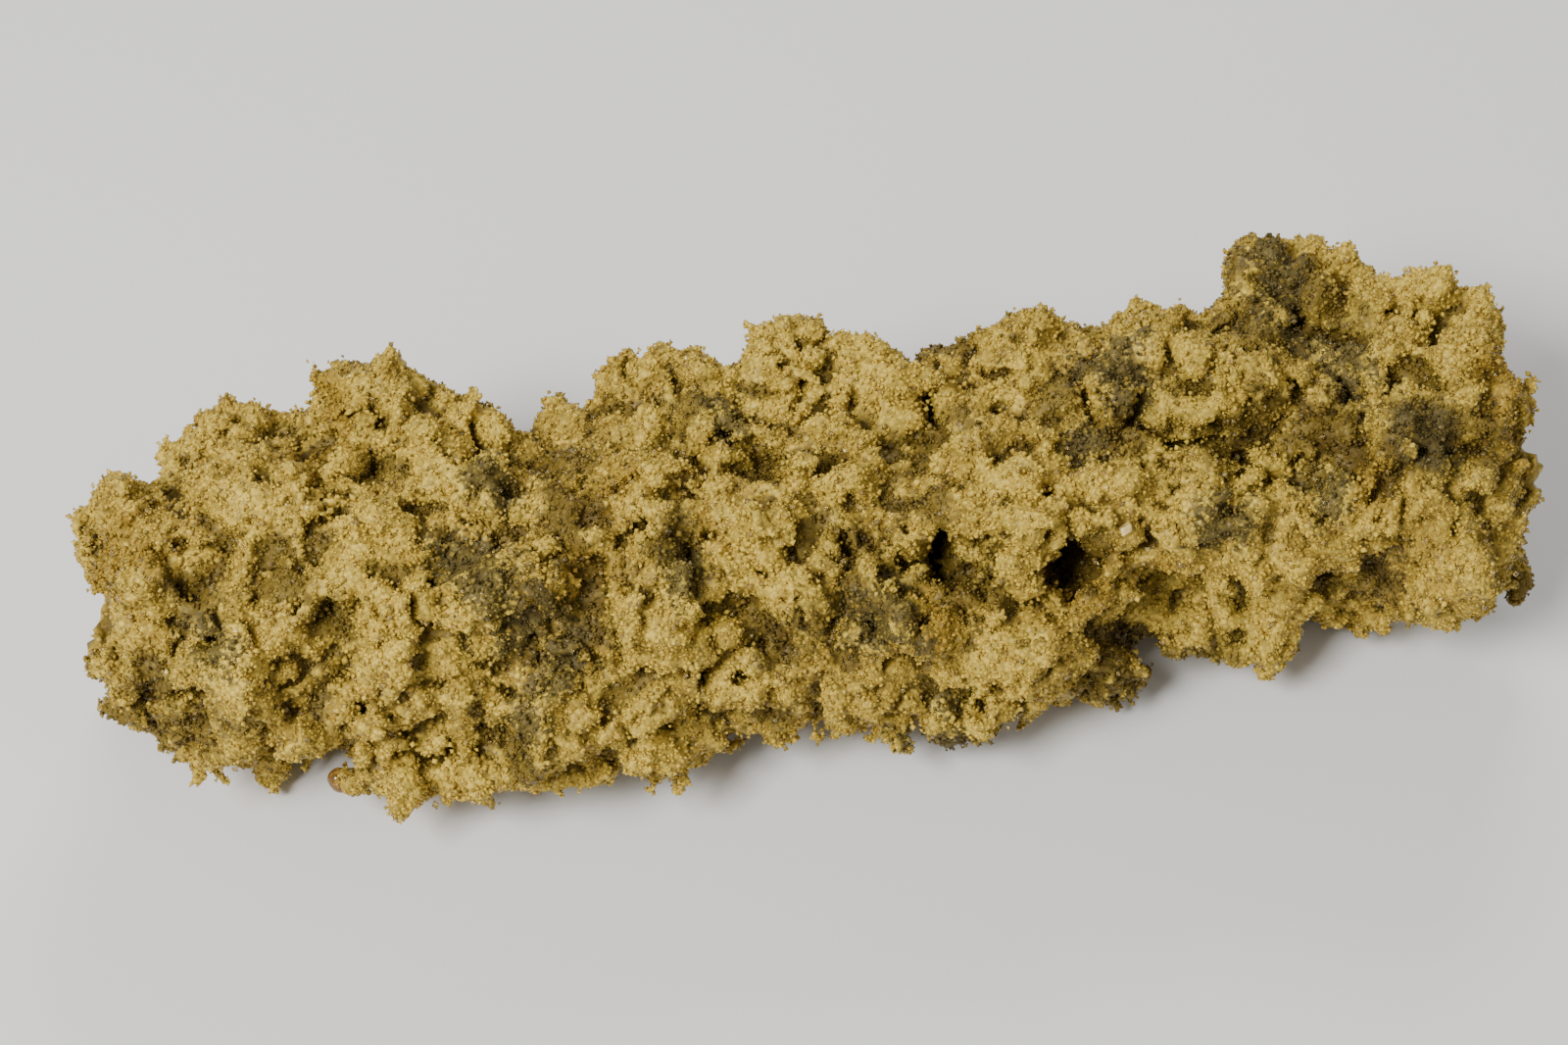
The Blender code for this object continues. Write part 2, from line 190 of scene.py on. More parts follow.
# Gaps: the two ends of the mouth, each by its column and row, the half width and the depth
GAPS = tuple(Gap(*row) for row in (
    (959, 540, 962, 597, 0.65, 4.5), (1080, 560, 1085, 590, 0.65, 4.0),
    (952, 405, 955, 430, 0.6, 3.2), (390, 706, 390, 708, 0.3, 1.6),
    (396, 728, 398, 732, 0.4, 2.0), (262, 735, 268, 780, 0.4, 3.0),
    (1388, 605, 1412, 610, 0.65, 4.0), (1150, 428, 1180, 440, 0.55, 2.2),
    (1195, 455, 1240, 445, 0.6, 2.6), (1250, 442, 1300, 448, 0.5, 1.8),
    (1352, 345, 1395, 335, 0.5, 2.0), (1326, 642, 1327, 660, 0.35, 2.5),
    (506, 742, 510, 755, 0.4, 2.2), (585, 648, 600, 668, 0.4, 2.0),
    (560, 640, 572, 650, 0.3, 1.5), (860, 545, 865, 565, 0.5, 2.0),
    (792, 462, 800, 470, 0.4, 1.5), (687, 385, 690, 405, 0.4, 2.2),
    (549, 462, 551, 482, 0.35, 2.2), (818, 618, 822, 640, 0.4, 1.6),
    (998, 582, 1006, 590, 0.4, 2.0), (1046, 585, 1060, 590, 0.35, 1.6),
    (1122, 638, 1178, 664, 1.3, 4.4), (1185, 672, 1228, 682, 0.85, 4.0),
    (1238, 684, 1275, 690, 0.7, 3.6),
    (283, 776, 300, 790, 0.55, 6.0), (932, 742, 946, 765, 0.8, 8.0),
    (742, 778, 770, 768, 0.65, 8.0), (1408, 620, 1425, 622, 0.75, 4.0),
    (1326, 655, 1327, 672, 0.55, 5.0), (540, 432, 546, 445, 0.5, 4.0),
    (1112, 400, 1118, 430, 0.5, 2.2), (1098, 380, 1100, 395, 0.35, 1.6),
    (500, 545, 506, 556, 0.3, 1.4), (668, 500, 690, 506, 0.35, 1.4),
    (745, 752, 775, 748, 0.4, 2.2), (940, 715, 955, 712, 0.5, 2.2),
    (1440, 450, 1452, 460, 0.4, 1.6), (1500, 455, 1515, 458, 0.35, 1.4),
    (290, 560, 300, 575, 0.35, 1.2), (200, 612, 206, 622, 0.35, 1.4),
    (163, 655, 172, 668, 0.4, 1.4), (430, 700, 450, 706, 0.35, 1.3),
    (1296, 470, 1300, 474, 0.25, 1.2), (1215, 640, 1222, 644, 0.3, 1.5),
    (1195, 635, 1200, 640, 0.25, 1.2), (1395, 560, 1400, 566, 0.35, 1.4),
    (1480, 545, 1486, 550, 0.3, 1.2),
))


def smooth_step(low: float, high: float, value: np.ndarray) -> np.ndarray:
    """Rises smoothly from 0 at low to 1 at high.

    Args:
        low: Where it is still 0. It may be above high, and then it falls instead.
        high: Where it has reached 1.
        value: The values to read it at.

    Returns:
        One number from 0 to 1 for each value.
    """
    share = np.clip((value - low) / (high - low), 0.0, 1.0)
    return share * share * (3 - 2 * share)


def noise_at(points: np.ndarray, breadth: float, shift: float) -> np.ndarray:
    """Smooth noise from about -1 to 1.

    Args:
        points: Places in millimetres, one a row.
        breadth: How broad its swellings are, in millimetres.
        shift: How far along the noise to read, so that two of them differ.

    Returns:
        One number for each point.
    """
    places = (points / breadth + shift).tolist()
    return np.fromiter((noise.noise(place) for place in places), float, len(places))


def coordinates(mesh: bpy.types.Mesh) -> np.ndarray:
    """The places of a mesh's vertices, in millimetres, one a row."""
    flat = np.empty(len(mesh.vertices) * 3, np.float32)
    mesh.vertices.foreach_get("co", flat)
    return flat.reshape(-1, 3).astype(float) / MM


def finished_mesh(name: str, shape: bmesh.types.BMesh) -> bpy.types.Mesh:
    """A new mesh that holds this shape, which is freed."""
    mesh = bpy.data.meshes.new(name)
    shape.to_mesh(mesh)
    shape.free()
    return mesh


def add_object(name: str, mesh: bpy.types.Mesh) -> bpy.types.Object:
    """Links a new object that holds this mesh to the scene."""
    made = bpy.data.objects.new(name, mesh)
    bpy.context.scene.collection.objects.link(made)
    return made


def store(mesh: bpy.types.Mesh, name: str, values: np.ndarray) -> None:
    """Keeps one number for each vertex as a named attribute of the mesh."""
    attribute = mesh.attributes.new(name, "FLOAT", "POINT")
    attribute.data.foreach_set("value", values.astype(np.float32))


@dataclass(frozen=True)
class TubeAxis:
    """The tube's middle line, and clock angles round it: 90 is up, 180 towards the front."""

    places: tuple[float, ...] = (-44, -39, -33, -26, -19, -12, -5, 2, 9, 16, 23, 30, 37, 44)
    backs: tuple[float, ...] = (
        0.9, 1.2, 0.8, 0.0, -1.4, -1.6, 0.0, -0.2, -0.5, 0.2, 1.2, 1.7, 1.0, 0.6
    )
    height: float = 10.9
    squash: float = 0.86
    reach: float = 11.0

    def around(self, points: np.ndarray) -> tuple[np.ndarray, np.ndarray, np.ndarray]:
        """Reads places by the tube.

        Args:
            points: Places in millimetres, one a row.

        Returns:
            Each one's distance along, clock angle in degrees and distance out.
        """
        along = points[:, 0]
        back = points[:, 1] - np.interp(along, self.places, self.backs)
        up = (points[:, 2] - self.height) / self.squash
        return along, np.degrees(np.arctan2(up, back)) % 360.0, np.hypot(back, up)

    def outward(self, points: np.ndarray) -> np.ndarray:
        """Unit directions straight out from the middle line through these places."""
        out = points.copy()
        out[:, 0] = 0.0
        out[:, 1] -= np.interp(points[:, 0], self.places, self.backs)
        out[:, 2] -= self.height
        return out / np.maximum(np.linalg.norm(out, axis=1, keepdims=True), 1e-6)


@dataclass(frozen=True)
class View:
    """The camera's place and aim, and the way that each of its pixels looks."""

    azimuth: float = -8.2
    elevation: float = 52.0
    distance: float = 242.5
    lens: float = 90.0
    sensor: float = 36.0
    columns: int = 1600
    rows: int = 1066
    middle: tuple[float, float, float] = (0.37, 0.08, 10.5)
    object_right: float = 42.5
    object_down: float = 24.5

    @staticmethod
    def directions(azimuth: float, elevation: float) -> tuple[Vector, Vector, Vector]:
        """Unit directions of a view.

        Args:
            azimuth: Degrees to the right of straight in front.
            elevation: Degrees above the horizon.

        Returns:
            Right, up, and from the object back to the viewer.
        """
        a, e = math.radians(azimuth), math.radians(elevation)
        right = Vector((math.cos(a), math.sin(a), 0.0))
        back = Vector((math.sin(a) * math.cos(e), -math.cos(a) * math.cos(e), math.sin(e)))
        return right, back.cross(right), back

    @property
    def pixel(self) -> float:
        """How broad a pixel is at the object, in millimetres."""
        return self.distance * self.sensor / self.lens / self.columns

    @property
    def back(self) -> Vector:
        """The direction from the object back to the camera."""
        return self.directions(self.azimuth, self.elevation)[2]

    @property
    def eye(self) -> Vector:
        """Where the camera stands, so that the object lies off the middle of its view."""
        right, up, back = self.directions(self.azimuth, self.elevation)
        aim = Vector(self.middle) - right * (self.object_right * self.pixel)
        return aim + up * (self.object_down * self.pixel) + back * self.distance

    def way(self, column: float, row: float) -> Vector:
        """The unit direction in which a pixel looks."""
        right, up, back = self.directions(self.azimuth, self.elevation)
        across = (column - self.columns / 2) * self.pixel
        down = (row - self.rows / 2) * self.pixel
        return (right * across - up * down - back * self.distance).normalized()


@dataclass
class SeenSurface:
    """The plain solid as the camera sees it, which carries what is placed by its pixel."""

    view: View
    axis: TubeAxis
    node: bpy.types.Object
    nearest: float = 200.0
    farthest: float = 290.0
    step: float = 0.5
    tree: BVHTree = field(init=False)

    def __post_init__(self) -> None:
        """Readies the solid's faces."""
        mesh = self.node.data
        faces = [tuple(face.vertices) for face in mesh.polygons]
        self.tree = BVHTree.FromPolygons(coordinates(mesh).tolist(), faces)

    def place(self, column: int, row: int) -> Vector:
        """Finds where a pixel's ray meets the solid, or passes closest to it.

        Args:
            column: The pixel's column.
            row: Its row, counted from the top.

        Returns:
            The place, in millimetres.
        """
        eye, way = self.view.eye, self.view.way(column, row)
        met, _, _, _ = self.tree.ray_cast(eye, way)
        if met is not None:
            return met
        reaches = np.arange(self.nearest, self.farthest, self.step)
        passed = [eye + way * float(reach) for reach in reaches]
        return min(passed, key=lambda place: self.tree.find_nearest(place)[3])

    def knob_middle(self, knob: Knob) -> Vector:
        """The middle of a knob: sunk behind what the camera sees, then tucked in."""
        way = self.view.way(knob.column, knob.row)
        middle = self.place(knob.column, knob.row) + way * (knob.radius * (1 - knob.proud))
        return middle - Vector(self.axis.outward(np.array([middle]))[0]) * knob.tuck

    def spot(self, column: int, row: int, radius: float) -> tuple[float, float, float]:
        """A stain's place along the tube, its clock angle and its radius."""
        along, clock, _ = self.axis.around(np.array([self.place(column, row)]))
        return float(along[0]), float(clock[0]), radius


@dataclass
class Surroundings:
    """What the crust's own shape says of each place: hollow, proud, or in the channel."""

    axis: TubeAxis
    rounds: int = 90
    channel_reach: float = 7.2

    def standing(self, mesh: bpy.types.Mesh, normals: np.ndarray) -> np.ndarray:
        """How far each vertex stands out of the skin round it, in millimetres.

        Args:
            mesh: The skin.
            normals: The skin's direction at each vertex.

        Returns:
            The height of each vertex above the eased skin, negative in a hollow.
        """
        points = coordinates(mesh)
        ends = np.empty(len(mesh.edges) * 2, np.int32)
        mesh.edges.foreach_get("vertices", ends)
        near, far = ends.reshape(-1, 2).T
        count = np.bincount(ends, minlength=len(points))
        eased = points.copy()
        for _ in range(self.rounds):
            for axis in range(3):
                line = eased[:, axis]
                total = np.bincount(near, line[far], len(points))
                total += np.bincount(far, line[near], len(points))
                eased[:, axis] = 0.5 * (line + total / np.maximum(count, 1))
        height = ((points - eased) * normals).sum(axis=1)
        return height - np.median(height)

    def read(self, mesh: bpy.types.Mesh) -> dict[str, np.ndarray]:
        """Reads the strengths, from 0 to 1, of each place's hollow, proud and lining."""
        flat = np.empty(len(mesh.vertices) * 3, np.float32)
        mesh.vertex_normals.foreach_get("vector", flat)
        normals = flat.reshape(-1, 3).astype(float)
        points = coordinates(mesh)
        _, _, out = self.axis.around(points)
        inward = (normals * self.axis.outward(points)).sum(axis=1)
        near = smooth_step(self.channel_reach, self.channel_reach - 2.0, out)
        height = self.standing(mesh, normals)
        return {
            # Drives painted shade: the hollows are later coloured brown.
            "hollow": smooth_step(-0.05, -0.75, height),
            # Drives painted highlights: the proud places are later coloured cream.
            "proud": smooth_step(0.1, 0.9, height),
            "lining": smooth_step(0.2, -0.5, inward) * near,
        }


@dataclass
class StainMap:
    """Where the crust's colours lie: named spots on the seen side, and chance ones elsewhere."""

    seen: SeenSurface
    seed: int = 5
    chance_share: float = 1.0
    chance_radii: tuple[float, float] = (1.2, 2.9)
    hidden_from: float = 214.0
    hidden_to: float = 392.0
    spread: float = 1.65
    ragged: float = 0.65
    ragged_breadth: float = 1.7
    spots: dict[Stain, np.ndarray] = field(init=False)

    def __post_init__(self) -> None:
        """Adds chance spots to the named ones, over the side that has none."""
        rng = np.random.default_rng(self.seed)
        self.spots = {}
        for stain in Stain:
            count = round(self.chance_share * len(SEEN_SPOTS[stain]))
            chance = np.column_stack((
                rng.uniform(-44.0, 44.0, count),
                rng.uniform(self.hidden_from, self.hidden_to, count) % 360.0,
                rng.uniform(*self.chance_radii, count),
            ))
            named = [self.seen.spot(*spot) for spot in SEEN_SPOTS[stain]]
            self.spots[stain] = np.vstack((named, chance))

    def read(self, points: np.ndarray) -> dict[str, np.ndarray]:
        """Reads the strength of each stain.

        Args:
            points: Places in millimetres, one a row.

        Returns:
            Strengths from 0 to 1, by the stain's attribute name.
        """
        axis = self.seen.axis
        along, clock, _ = axis.around(points)
        edge = self.ragged * noise_at(points, self.ragged_breadth, 4.7)
        edge += 0.5 * self.ragged * noise_at(points, self.ragged_breadth / 3, 9.1)
        found = {}
        for stain, spots in self.spots.items():
            strength = np.zeros(len(points))
            for place, angle, radius in spots:
                turn = (clock - angle + 180.0) % 360.0 - 180.0
                away = np.hypot(along - place, np.radians(turn) * axis.reach)
                strength = np.maximum(strength, 1.0 - away / (self.spread * radius))
            shown = smooth_step(0.0, 0.8, strength + edge * (strength > 0.0))
            found[stain.value] = shown
        return found


class NodeWriter:
    """Adds nodes to a tree, one sum or pattern at a time, and links them."""

    def __init__(self, tree: bpy.types.NodeTree) -> None:
        """Starts on a tree and empties it."""
        self.tree = tree
        tree.nodes.clear()

    def add(self, kind: str, **settings: object) -> bpy.types.Node:
        """Adds a node.

        Args:
            kind: Its identifier.
            **settings: Its own properties, by name.

        Returns:
            The node.
        """
        node = self.tree.nodes.new(kind)
        for name, value in settings.items():
            setattr(node, name, value)
        return node

    def feed(self, socket: bpy.types.NodeSocket, value: object) -> None:
        """Links an output to a socket, or sets the socket to a plain value."""
        if isinstance(value, bpy.types.NodeSocket):
            self.tree.links.new(value, socket)
        else:
            socket.default_value = value

    def sum(self, operation: str, *values: object, clamp: bool = False) -> bpy.types.NodeSocket:
        """Does arithmetic on numbers.

        Args:
            operation: The Math node's operation.
            *values: Its inputs, each an output or a number.
            clamp: Whether the result is kept from 0 to 1.

        Returns:
            The result.
        """
        node = self.add("ShaderNodeMath", operation=operation, use_clamp=clamp)
        for socket, value in zip(node.inputs, values):
            self.feed(socket, value)
        return node.outputs[0]

    def vector(self, operation: str, *values: object) -> bpy.types.NodeSocket:
        """Does arithmetic on vectors, and returns the vector or the number that it gives."""
        node = self.add("ShaderNodeVectorMath", operation=operation)
        for socket, value in zip(node.inputs, values):
            self.feed(socket, value)
        return node.outputs["Value" if operation in ("DOT_PRODUCT", "LENGTH") else "Vector"]

    def scaled(self, vector: bpy.types.NodeSocket, factor: float) -> bpy.types.NodeSocket:
        """A vector made this many times longer."""
        node = self.add("ShaderNodeVectorMath", operation="SCALE")
        self.feed(node.inputs["Vector"], vector)
        node.inputs["Scale"].default_value = factor
        return node.outputs["Vector"]

    def clouds(
        self, place: bpy.types.NodeSocket, breadth: float, detail: float = 1.0, shift: float = 0.0
    ) -> bpy.types.NodeSocket:
        """Cloudy noise.

        Args:
            place: Where it is read, in millimetres.
            breadth: How broad its clouds are, in millimetres.
            detail: How many finer layers it has.
            shift: How far along the noise to read, so that two of them differ.

        Returns:
            A number round 0.5.
        """
        moved = self.vector("ADD", place, (shift, 0.6 * shift, -shift))
        node = self.add("ShaderNodeTexNoise")
        node.inputs["Scale"].default_value = 1.0 / breadth
        node.inputs["Detail"].default_value = detail
        self.feed(node.inputs["Vector"], moved)
        return node.outputs["Fac"]

    def drifted(
        self, place: bpy.types.NodeSocket, breadth: float, reach: float
    ) -> bpy.types.NodeSocket:
        """A place pushed to and fro by noise.

        Args:
            place: The place, in millimetres.
            breadth: How broad the pushes are, in millimetres.
            reach: About how far they go, in millimetres.

        Returns:
            The pushed place.
        """
        node = self.add("ShaderNodeTexNoise")
        node.inputs["Scale"].default_value = 1.0 / breadth
        node.inputs["Detail"].default_value = 1.0
        self.feed(node.inputs["Vector"], place)
        push = self.vector("SUBTRACT", node.outputs["Color"], (0.5, 0.5, 0.5))
        return self.vector("ADD", place, self.scaled(push, 4.0 * reach))

    def domes(
        self, place: bpy.types.NodeSocket, breadth: float, softness: float
    ) -> bpy.types.NodeSocket:
        """Round-topped domes side by side, with sharp furrows between them.

        Args:
            place: Where it is read, in millimetres.
            breadth: How far apart the domes are, in millimetres.
            softness: How softly one dome meets the next, from 0 to 1.

        Returns:
            A number from 0.2, on a dome's top, to about -0.4, in the deepest furrows.
        """
        node = self.add("ShaderNodeTexVoronoi", feature="SMOOTH_F1")
        node.inputs["Scale"].default_value = 1.0 / breadth
        node.inputs["Smoothness"].default_value = softness
        self.feed(node.inputs["Vector"], place)
        away = node.outputs["Distance"]
        return self.sum("MULTIPLY_ADD", self.sum("MULTIPLY", away, away), -1.0, 0.2)

    def granules(
        self, place: bpy.types.NodeSocket, breadth: float
    ) -> tuple[bpy.types.NodeSocket, bpy.types.NodeSocket]:
        """A pattern of grains side by side.

        Args:
            place: Where it is read, in millimetres.
            breadth: How far apart the grains are, in millimetres.

        Returns:
            The distance to a grain's middle, and a random number from 0 to 1 for each grain.
        """
        node = self.add("ShaderNodeTexVoronoi")
        node.inputs["Scale"].default_value = 1.0 / breadth
        self.feed(node.inputs["Vector"], place)
        apart = self.add("ShaderNodeSeparateColor")
        self.feed(apart.inputs[0], node.outputs["Color"])
        return node.outputs["Distance"], apart.outputs[0]

    def between(
        self, value: bpy.types.NodeSocket, low: float, high: float
    ) -> bpy.types.NodeSocket:
        """A number from 0 at low to 1 at high, eased at both."""
        node = self.add("ShaderNodeMapRange", interpolation_type="SMOOTHSTEP")
        self.feed(node.inputs["Value"], value)
        node.inputs["From Min"].default_value = low
        node.inputs["From Max"].default_value = high
        return node.outputs["Result"]

    def object_place(self) -> bpy.types.NodeSocket:
        """The place being shaded, in the object's own millimetres."""
        return self.scaled(self.add("ShaderNodeTexCoord").outputs["Object"], 1.0 / MM)

    def attribute(self, name: str) -> bpy.types.NodeSocket:
        """A number that the mesh keeps for each vertex."""
        return self.add("ShaderNodeAttribute", attribute_name=name).outputs["Fac"]

    def mixed(self, share: object, first: object, second: object) -> bpy.types.NodeSocket:
        """A colour between two others.

        Args:
            share: 0 for the first colour and 1 for the second.
            first: A colour, or an output that gives one.
            second: A colour, or an output that gives one.

        Returns:
            The colour between them.
        """
        node = self.add("ShaderNodeMix", data_type="RGBA")
        self.feed(node.inputs["Factor"], share)
        for socket, value in zip(node.inputs[6:8], (first, second)):
            plain = (*value, 1.0) if isinstance(value, tuple) else value
            self.feed(socket, plain)
        return node.outputs[2]

    def steps(
        self, value: bpy.types.NodeSocket, stops: Sequence[tuple[float, Colour]]
    ) -> bpy.types.NodeSocket:
        """Plain colours side by side, each from its stop to the next one's.

        Args:
            value: What picks the colour, from 0 to 1.
            stops: Where each colour starts, and the colour.

        Returns:
            The colour picked.
        """
        node = self.add("ShaderNodeValToRGB")
        ramp = node.color_ramp
        ramp.interpolation = "CONSTANT"
        while len(ramp.elements) < len(stops):
            ramp.elements.new(0.5)
        for element, (place, colour) in zip(ramp.elements, stops):
            element.position = place
            element.color = (*colour, 1.0)
        self.feed(node.inputs["Fac"], value)
        return node.outputs["Color"]


def started_material(name: str) -> tuple[bpy.types.Material, NodeWriter, bpy.types.Node]:
    """Starts a material.

    Args:
        name: Its name.

    Returns:
        The material, what adds its nodes, and its shader, linked to the output.
    """
    made = bpy.data.materials.new(name)
    made.use_nodes = True
    write = NodeWriter(made.node_tree)
    shader = write.add("ShaderNodeBsdfPrincipled")
    output = write.add("ShaderNodeOutputMaterial")
    write.feed(output.inputs["Surface"], shader.outputs["BSDF"])
    return made, write, shader


@dataclass(frozen=True)
class SandColours:
    """The colours of fused sand, which the crust and its grains share."""

    tan: Colour = (0.43, 0.288, 0.042)
    cream: Colour = (0.70, 0.50, 0.080)
    honey: Colour = (0.37, 0.225, 0.024)
    # Brown: real brown sand, and also the colour of painted shade in hollows and between painted
    # grains.
    brown: Colour = (0.080, 0.047, 0.006)
    grey: Colour = (0.26, 0.195, 0.06)
    ash: Colour = (0.080, 0.061, 0.018)
    soot: Colour = (0.025, 0.021, 0.008)
    white: Colour = (0.86, 0.74, 0.33)
    deep: Colour = (0.21, 0.13, 0.015)
    shine: Colour = (1.0, 0.87, 0.60)
    gloss: float = 0.40
    cloud_breadth: float = 1.7

    def dull(self, shader: bpy.types.Node) -> None:
        """Gives a shader the low, warm shine of sand."""
        shader.inputs["Specular IOR Level"].default_value = self.gloss
        shader.inputs["Specular Tint"].default_value = (*self.shine, 1.0)

    def clouded(
        self, write: NodeWriter, base: bpy.types.NodeSocket, place: bpy.types.NodeSocket
    ) -> bpy.types.NodeSocket:
        """Drifts a base colour slowly from place to place, paler here and deeper there.

        Args:
            write: What adds the nodes.
            base: The colour that drifts.
            place: Where it is read, in millimetres.

        Returns:
            The drifted colour.
        """
        pale = write.between(write.clouds(place, self.cloud_breadth, 2.0), 0.48, 0.66)
        deep = write.between(write.clouds(place, self.cloud_breadth, 2.0, 31.0), 0.50, 0.68)
        colour = write.mixed(write.sum("MULTIPLY", pale, 0.50), base, self.cream)
        return write.mixed(write.sum("MULTIPLY", deep, 0.48), colour, self.deep)

    def stained_and_shaded(
        self, write: NodeWriter, base: bpy.types.NodeSocket, chance: bpy.types.NodeSocket
    ) -> bpy.types.NodeSocket:
        """Lays stain colour and painted light on a base colour, more on some grains than others.

        Args:
            write: What adds the nodes.
            base: The colour with no stain.
            chance: A number from 0 to 1 that is each grain's own.

        Returns:
            The colour with its stain colours, painted shade and painted highlights.
        """
        layers = (
            # Painted highlight: proud places are coloured cream.
            ("proud", self.cream, 0.45, 0.35),
            (Stain.AMBER.value, self.honey, 0.80, 0.45),
            # Brown zone: partly real brown sand, partly painted shade in hollows and under overhangs.
            (Stain.BROWN.value, self.brown, 0.80, 0.55),
            (Stain.CREAM.value, self.cream, 0.80, 0.35),
            # Painted shade: hollows are coloured brown.
            ("hollow", self.brown, 0.80, 0.35),
            (Stain.ASH.value, self.ash, 0.88, 0.90),
        )
        colour = base
        for name, tint, most, mottle in layers:
            taken = write.sum("SUBTRACT", write.attribute(name), write.sum("MULTIPLY", chance, mottle))
            share = write.sum("MULTIPLY", write.between(taken, -0.25, 0.40), most)
            colour = write.mixed(share, colour, tint)
        return colour


@dataclass(frozen=True)
class CrustFinish:
    """Fused sand seen between the grains: tan, pitted, and glassy in the channel."""

    colours: SandColours = SandColours()
    lining: Colour = (0.17, 0.14, 0.06)
    grain: float = 0.30
    bump_height: float = 0.00007

    def material(self) -> bpy.types.Material:
        """Makes the crust's material."""
        made, write, shader = started_material("crust_fused_sand")
        place = write.object_place()
        away, chance = write.granules(place, self.grain)
        other = write.sum("FRACT", write.sum("MULTIPLY", chance, 7.31))
        tan = write.mixed(write.between(chance, 0.25, 0.95), self.colours.tan, self.colours.cream)
        base = write.mixed(write.between(other, 0.55, 1.0), tan, self.colours.honey)
        base = self.colours.clouded(write, base, place)
        base = self.colours.stained_and_shaded(write, base, chance)
        # Painted shade: the seams between the painted grains are darkened towards brown.
        seam_shade = write.sum("MULTIPLY", write.between(away, 0.38, 0.62), 0.35)
        base = write.mixed(seam_shade, base, self.colours.brown)
        lining = write.attribute("lining")
        write.feed(shader.inputs["Base Color"], write.mixed(lining, base, self.lining))
        rough = write.sum("MULTIPLY_ADD", other, 0.30, 0.42)
        rough = write.sum("MULTIPLY", rough, write.sum("MULTIPLY_ADD", lining, -0.6, 1.0))
        write.feed(shader.inputs["Roughness"], rough)
        calm = write.sum("MULTIPLY_ADD", lining, -0.85, 1.0)
        frost = write.sum("MULTIPLY", write.clouds(place, 0.12, 2.0), 0.35)
        grit = write.sum("MULTIPLY", write.sum("SUBTRACT", frost, away), calm)
        bump = write.add("ShaderNodeBump")
        bump.inputs["Strength"].default_value = 1.0
        bump.inputs["Distance"].default_value = self.bump_height
        write.feed(bump.inputs["Height"], grit)
        write.feed(shader.inputs["Normal"], bump.outputs["Normal"])
        self.colours.dull(shader)
        shader.inputs["IOR"].default_value = 1.5
        return made


@dataclass(frozen=True)
class GrainFinish:
    """Sand grains, each of its own colour and polish."""

    colours: SandColours = SandColours()
    frost_height: float = 0.00002

    def material(self) -> bpy.types.Material:
        """Makes the grains' material."""
        made, write, shader = started_material("sand_grains")
        c = self.colours
        kinds = (
            (0.0, c.tan), (0.58, c.cream), (0.80, c.honey), (0.87, c.tan), (0.95, c.grey),
            (0.975, c.brown), (0.985, c.soot), (0.990, c.white),
        )
        base = write.steps(write.attribute("kind"), kinds)
        shade = write.sum("MULTIPLY_ADD", write.attribute("shade"), 0.16, 0.92)
        tone = write.add("ShaderNodeHueSaturation")
        write.feed(tone.inputs["Value"], shade)
        write.feed(tone.inputs["Color"], base)
        polish = write.attribute("polish")
        place = write.object_place()
        colour = c.clouded(write, tone.outputs["Color"], place)
        write.feed(shader.inputs["Base Color"], c.stained_and_shaded(write, colour, polish))
        write.feed(shader.inputs["Roughness"], write.sum("MULTIPLY_ADD", polish, 0.5, 0.26))
        bump = write.add("ShaderNodeBump")
        bump.inputs["Strength"].default_value = 0.6
        bump.inputs["Distance"].default_value = self.frost_height
        write.feed(bump.inputs["Height"], write.clouds(place, 0.07, 2.0))
        write.feed(shader.inputs["Normal"], bump.outputs["Normal"])
        shader.inputs["IOR"].default_value = 1.5
        c.dull(shader)
        return made


@dataclass(frozen=True)
class ClearFinish:
    """Clear quartz and droplets of natural glass, faintly honey-coloured."""

    name: str
    tint: Colour = (0.90, 0.76, 0.38)
    roughness: float = 0.08
    through: float = 0.85

    def material(self) -> bpy.types.Material:
        """Makes the clear material."""
        made, write, shader = started_material(self.name)
        place = write.object_place()
        haze = write.clouds(place, 0.4, 2.0)
        deeper = tuple(part * part for part in self.tint)
        write.feed(shader.inputs["Base Color"], write.mixed(haze, self.tint, deeper))
        rough = write.sum("MULTIPLY_ADD", haze, 0.16, self.roughness)
        write.feed(shader.inputs["Roughness"], rough)
        shader.inputs["IOR"].default_value = 1.46
        shader.inputs["Transmission Weight"].default_value = self.through
        return made


@dataclass(frozen=True)
class SugarFinish:
    """Half-melted grains that let light through, tan like the sand round them."""

    colours: SandColours = SandColours()
    glow: Colour = (0.86, 0.63, 0.16)

    def material(self) -> bpy.types.Material:
        """Makes the half-melted grains' material."""
        made, write, shader = started_material("sugar_grains")
        polish = write.attribute("polish")
        place = write.object_place()
        base = write.mixed(write.attribute("shade"), self.glow, self.colours.cream)
        base = self.colours.clouded(write, base, place)
        write.feed(shader.inputs["Base Color"], self.colours.stained_and_shaded(write, base, polish))
        write.feed(shader.inputs["Roughness"], write.sum("MULTIPLY_ADD", polish, 0.4, 0.26))
        self.colours.dull(shader)
        shader.inputs["IOR"].default_value = 1.46
        shader.inputs["Transmission Weight"].default_value = 0.55
        return made


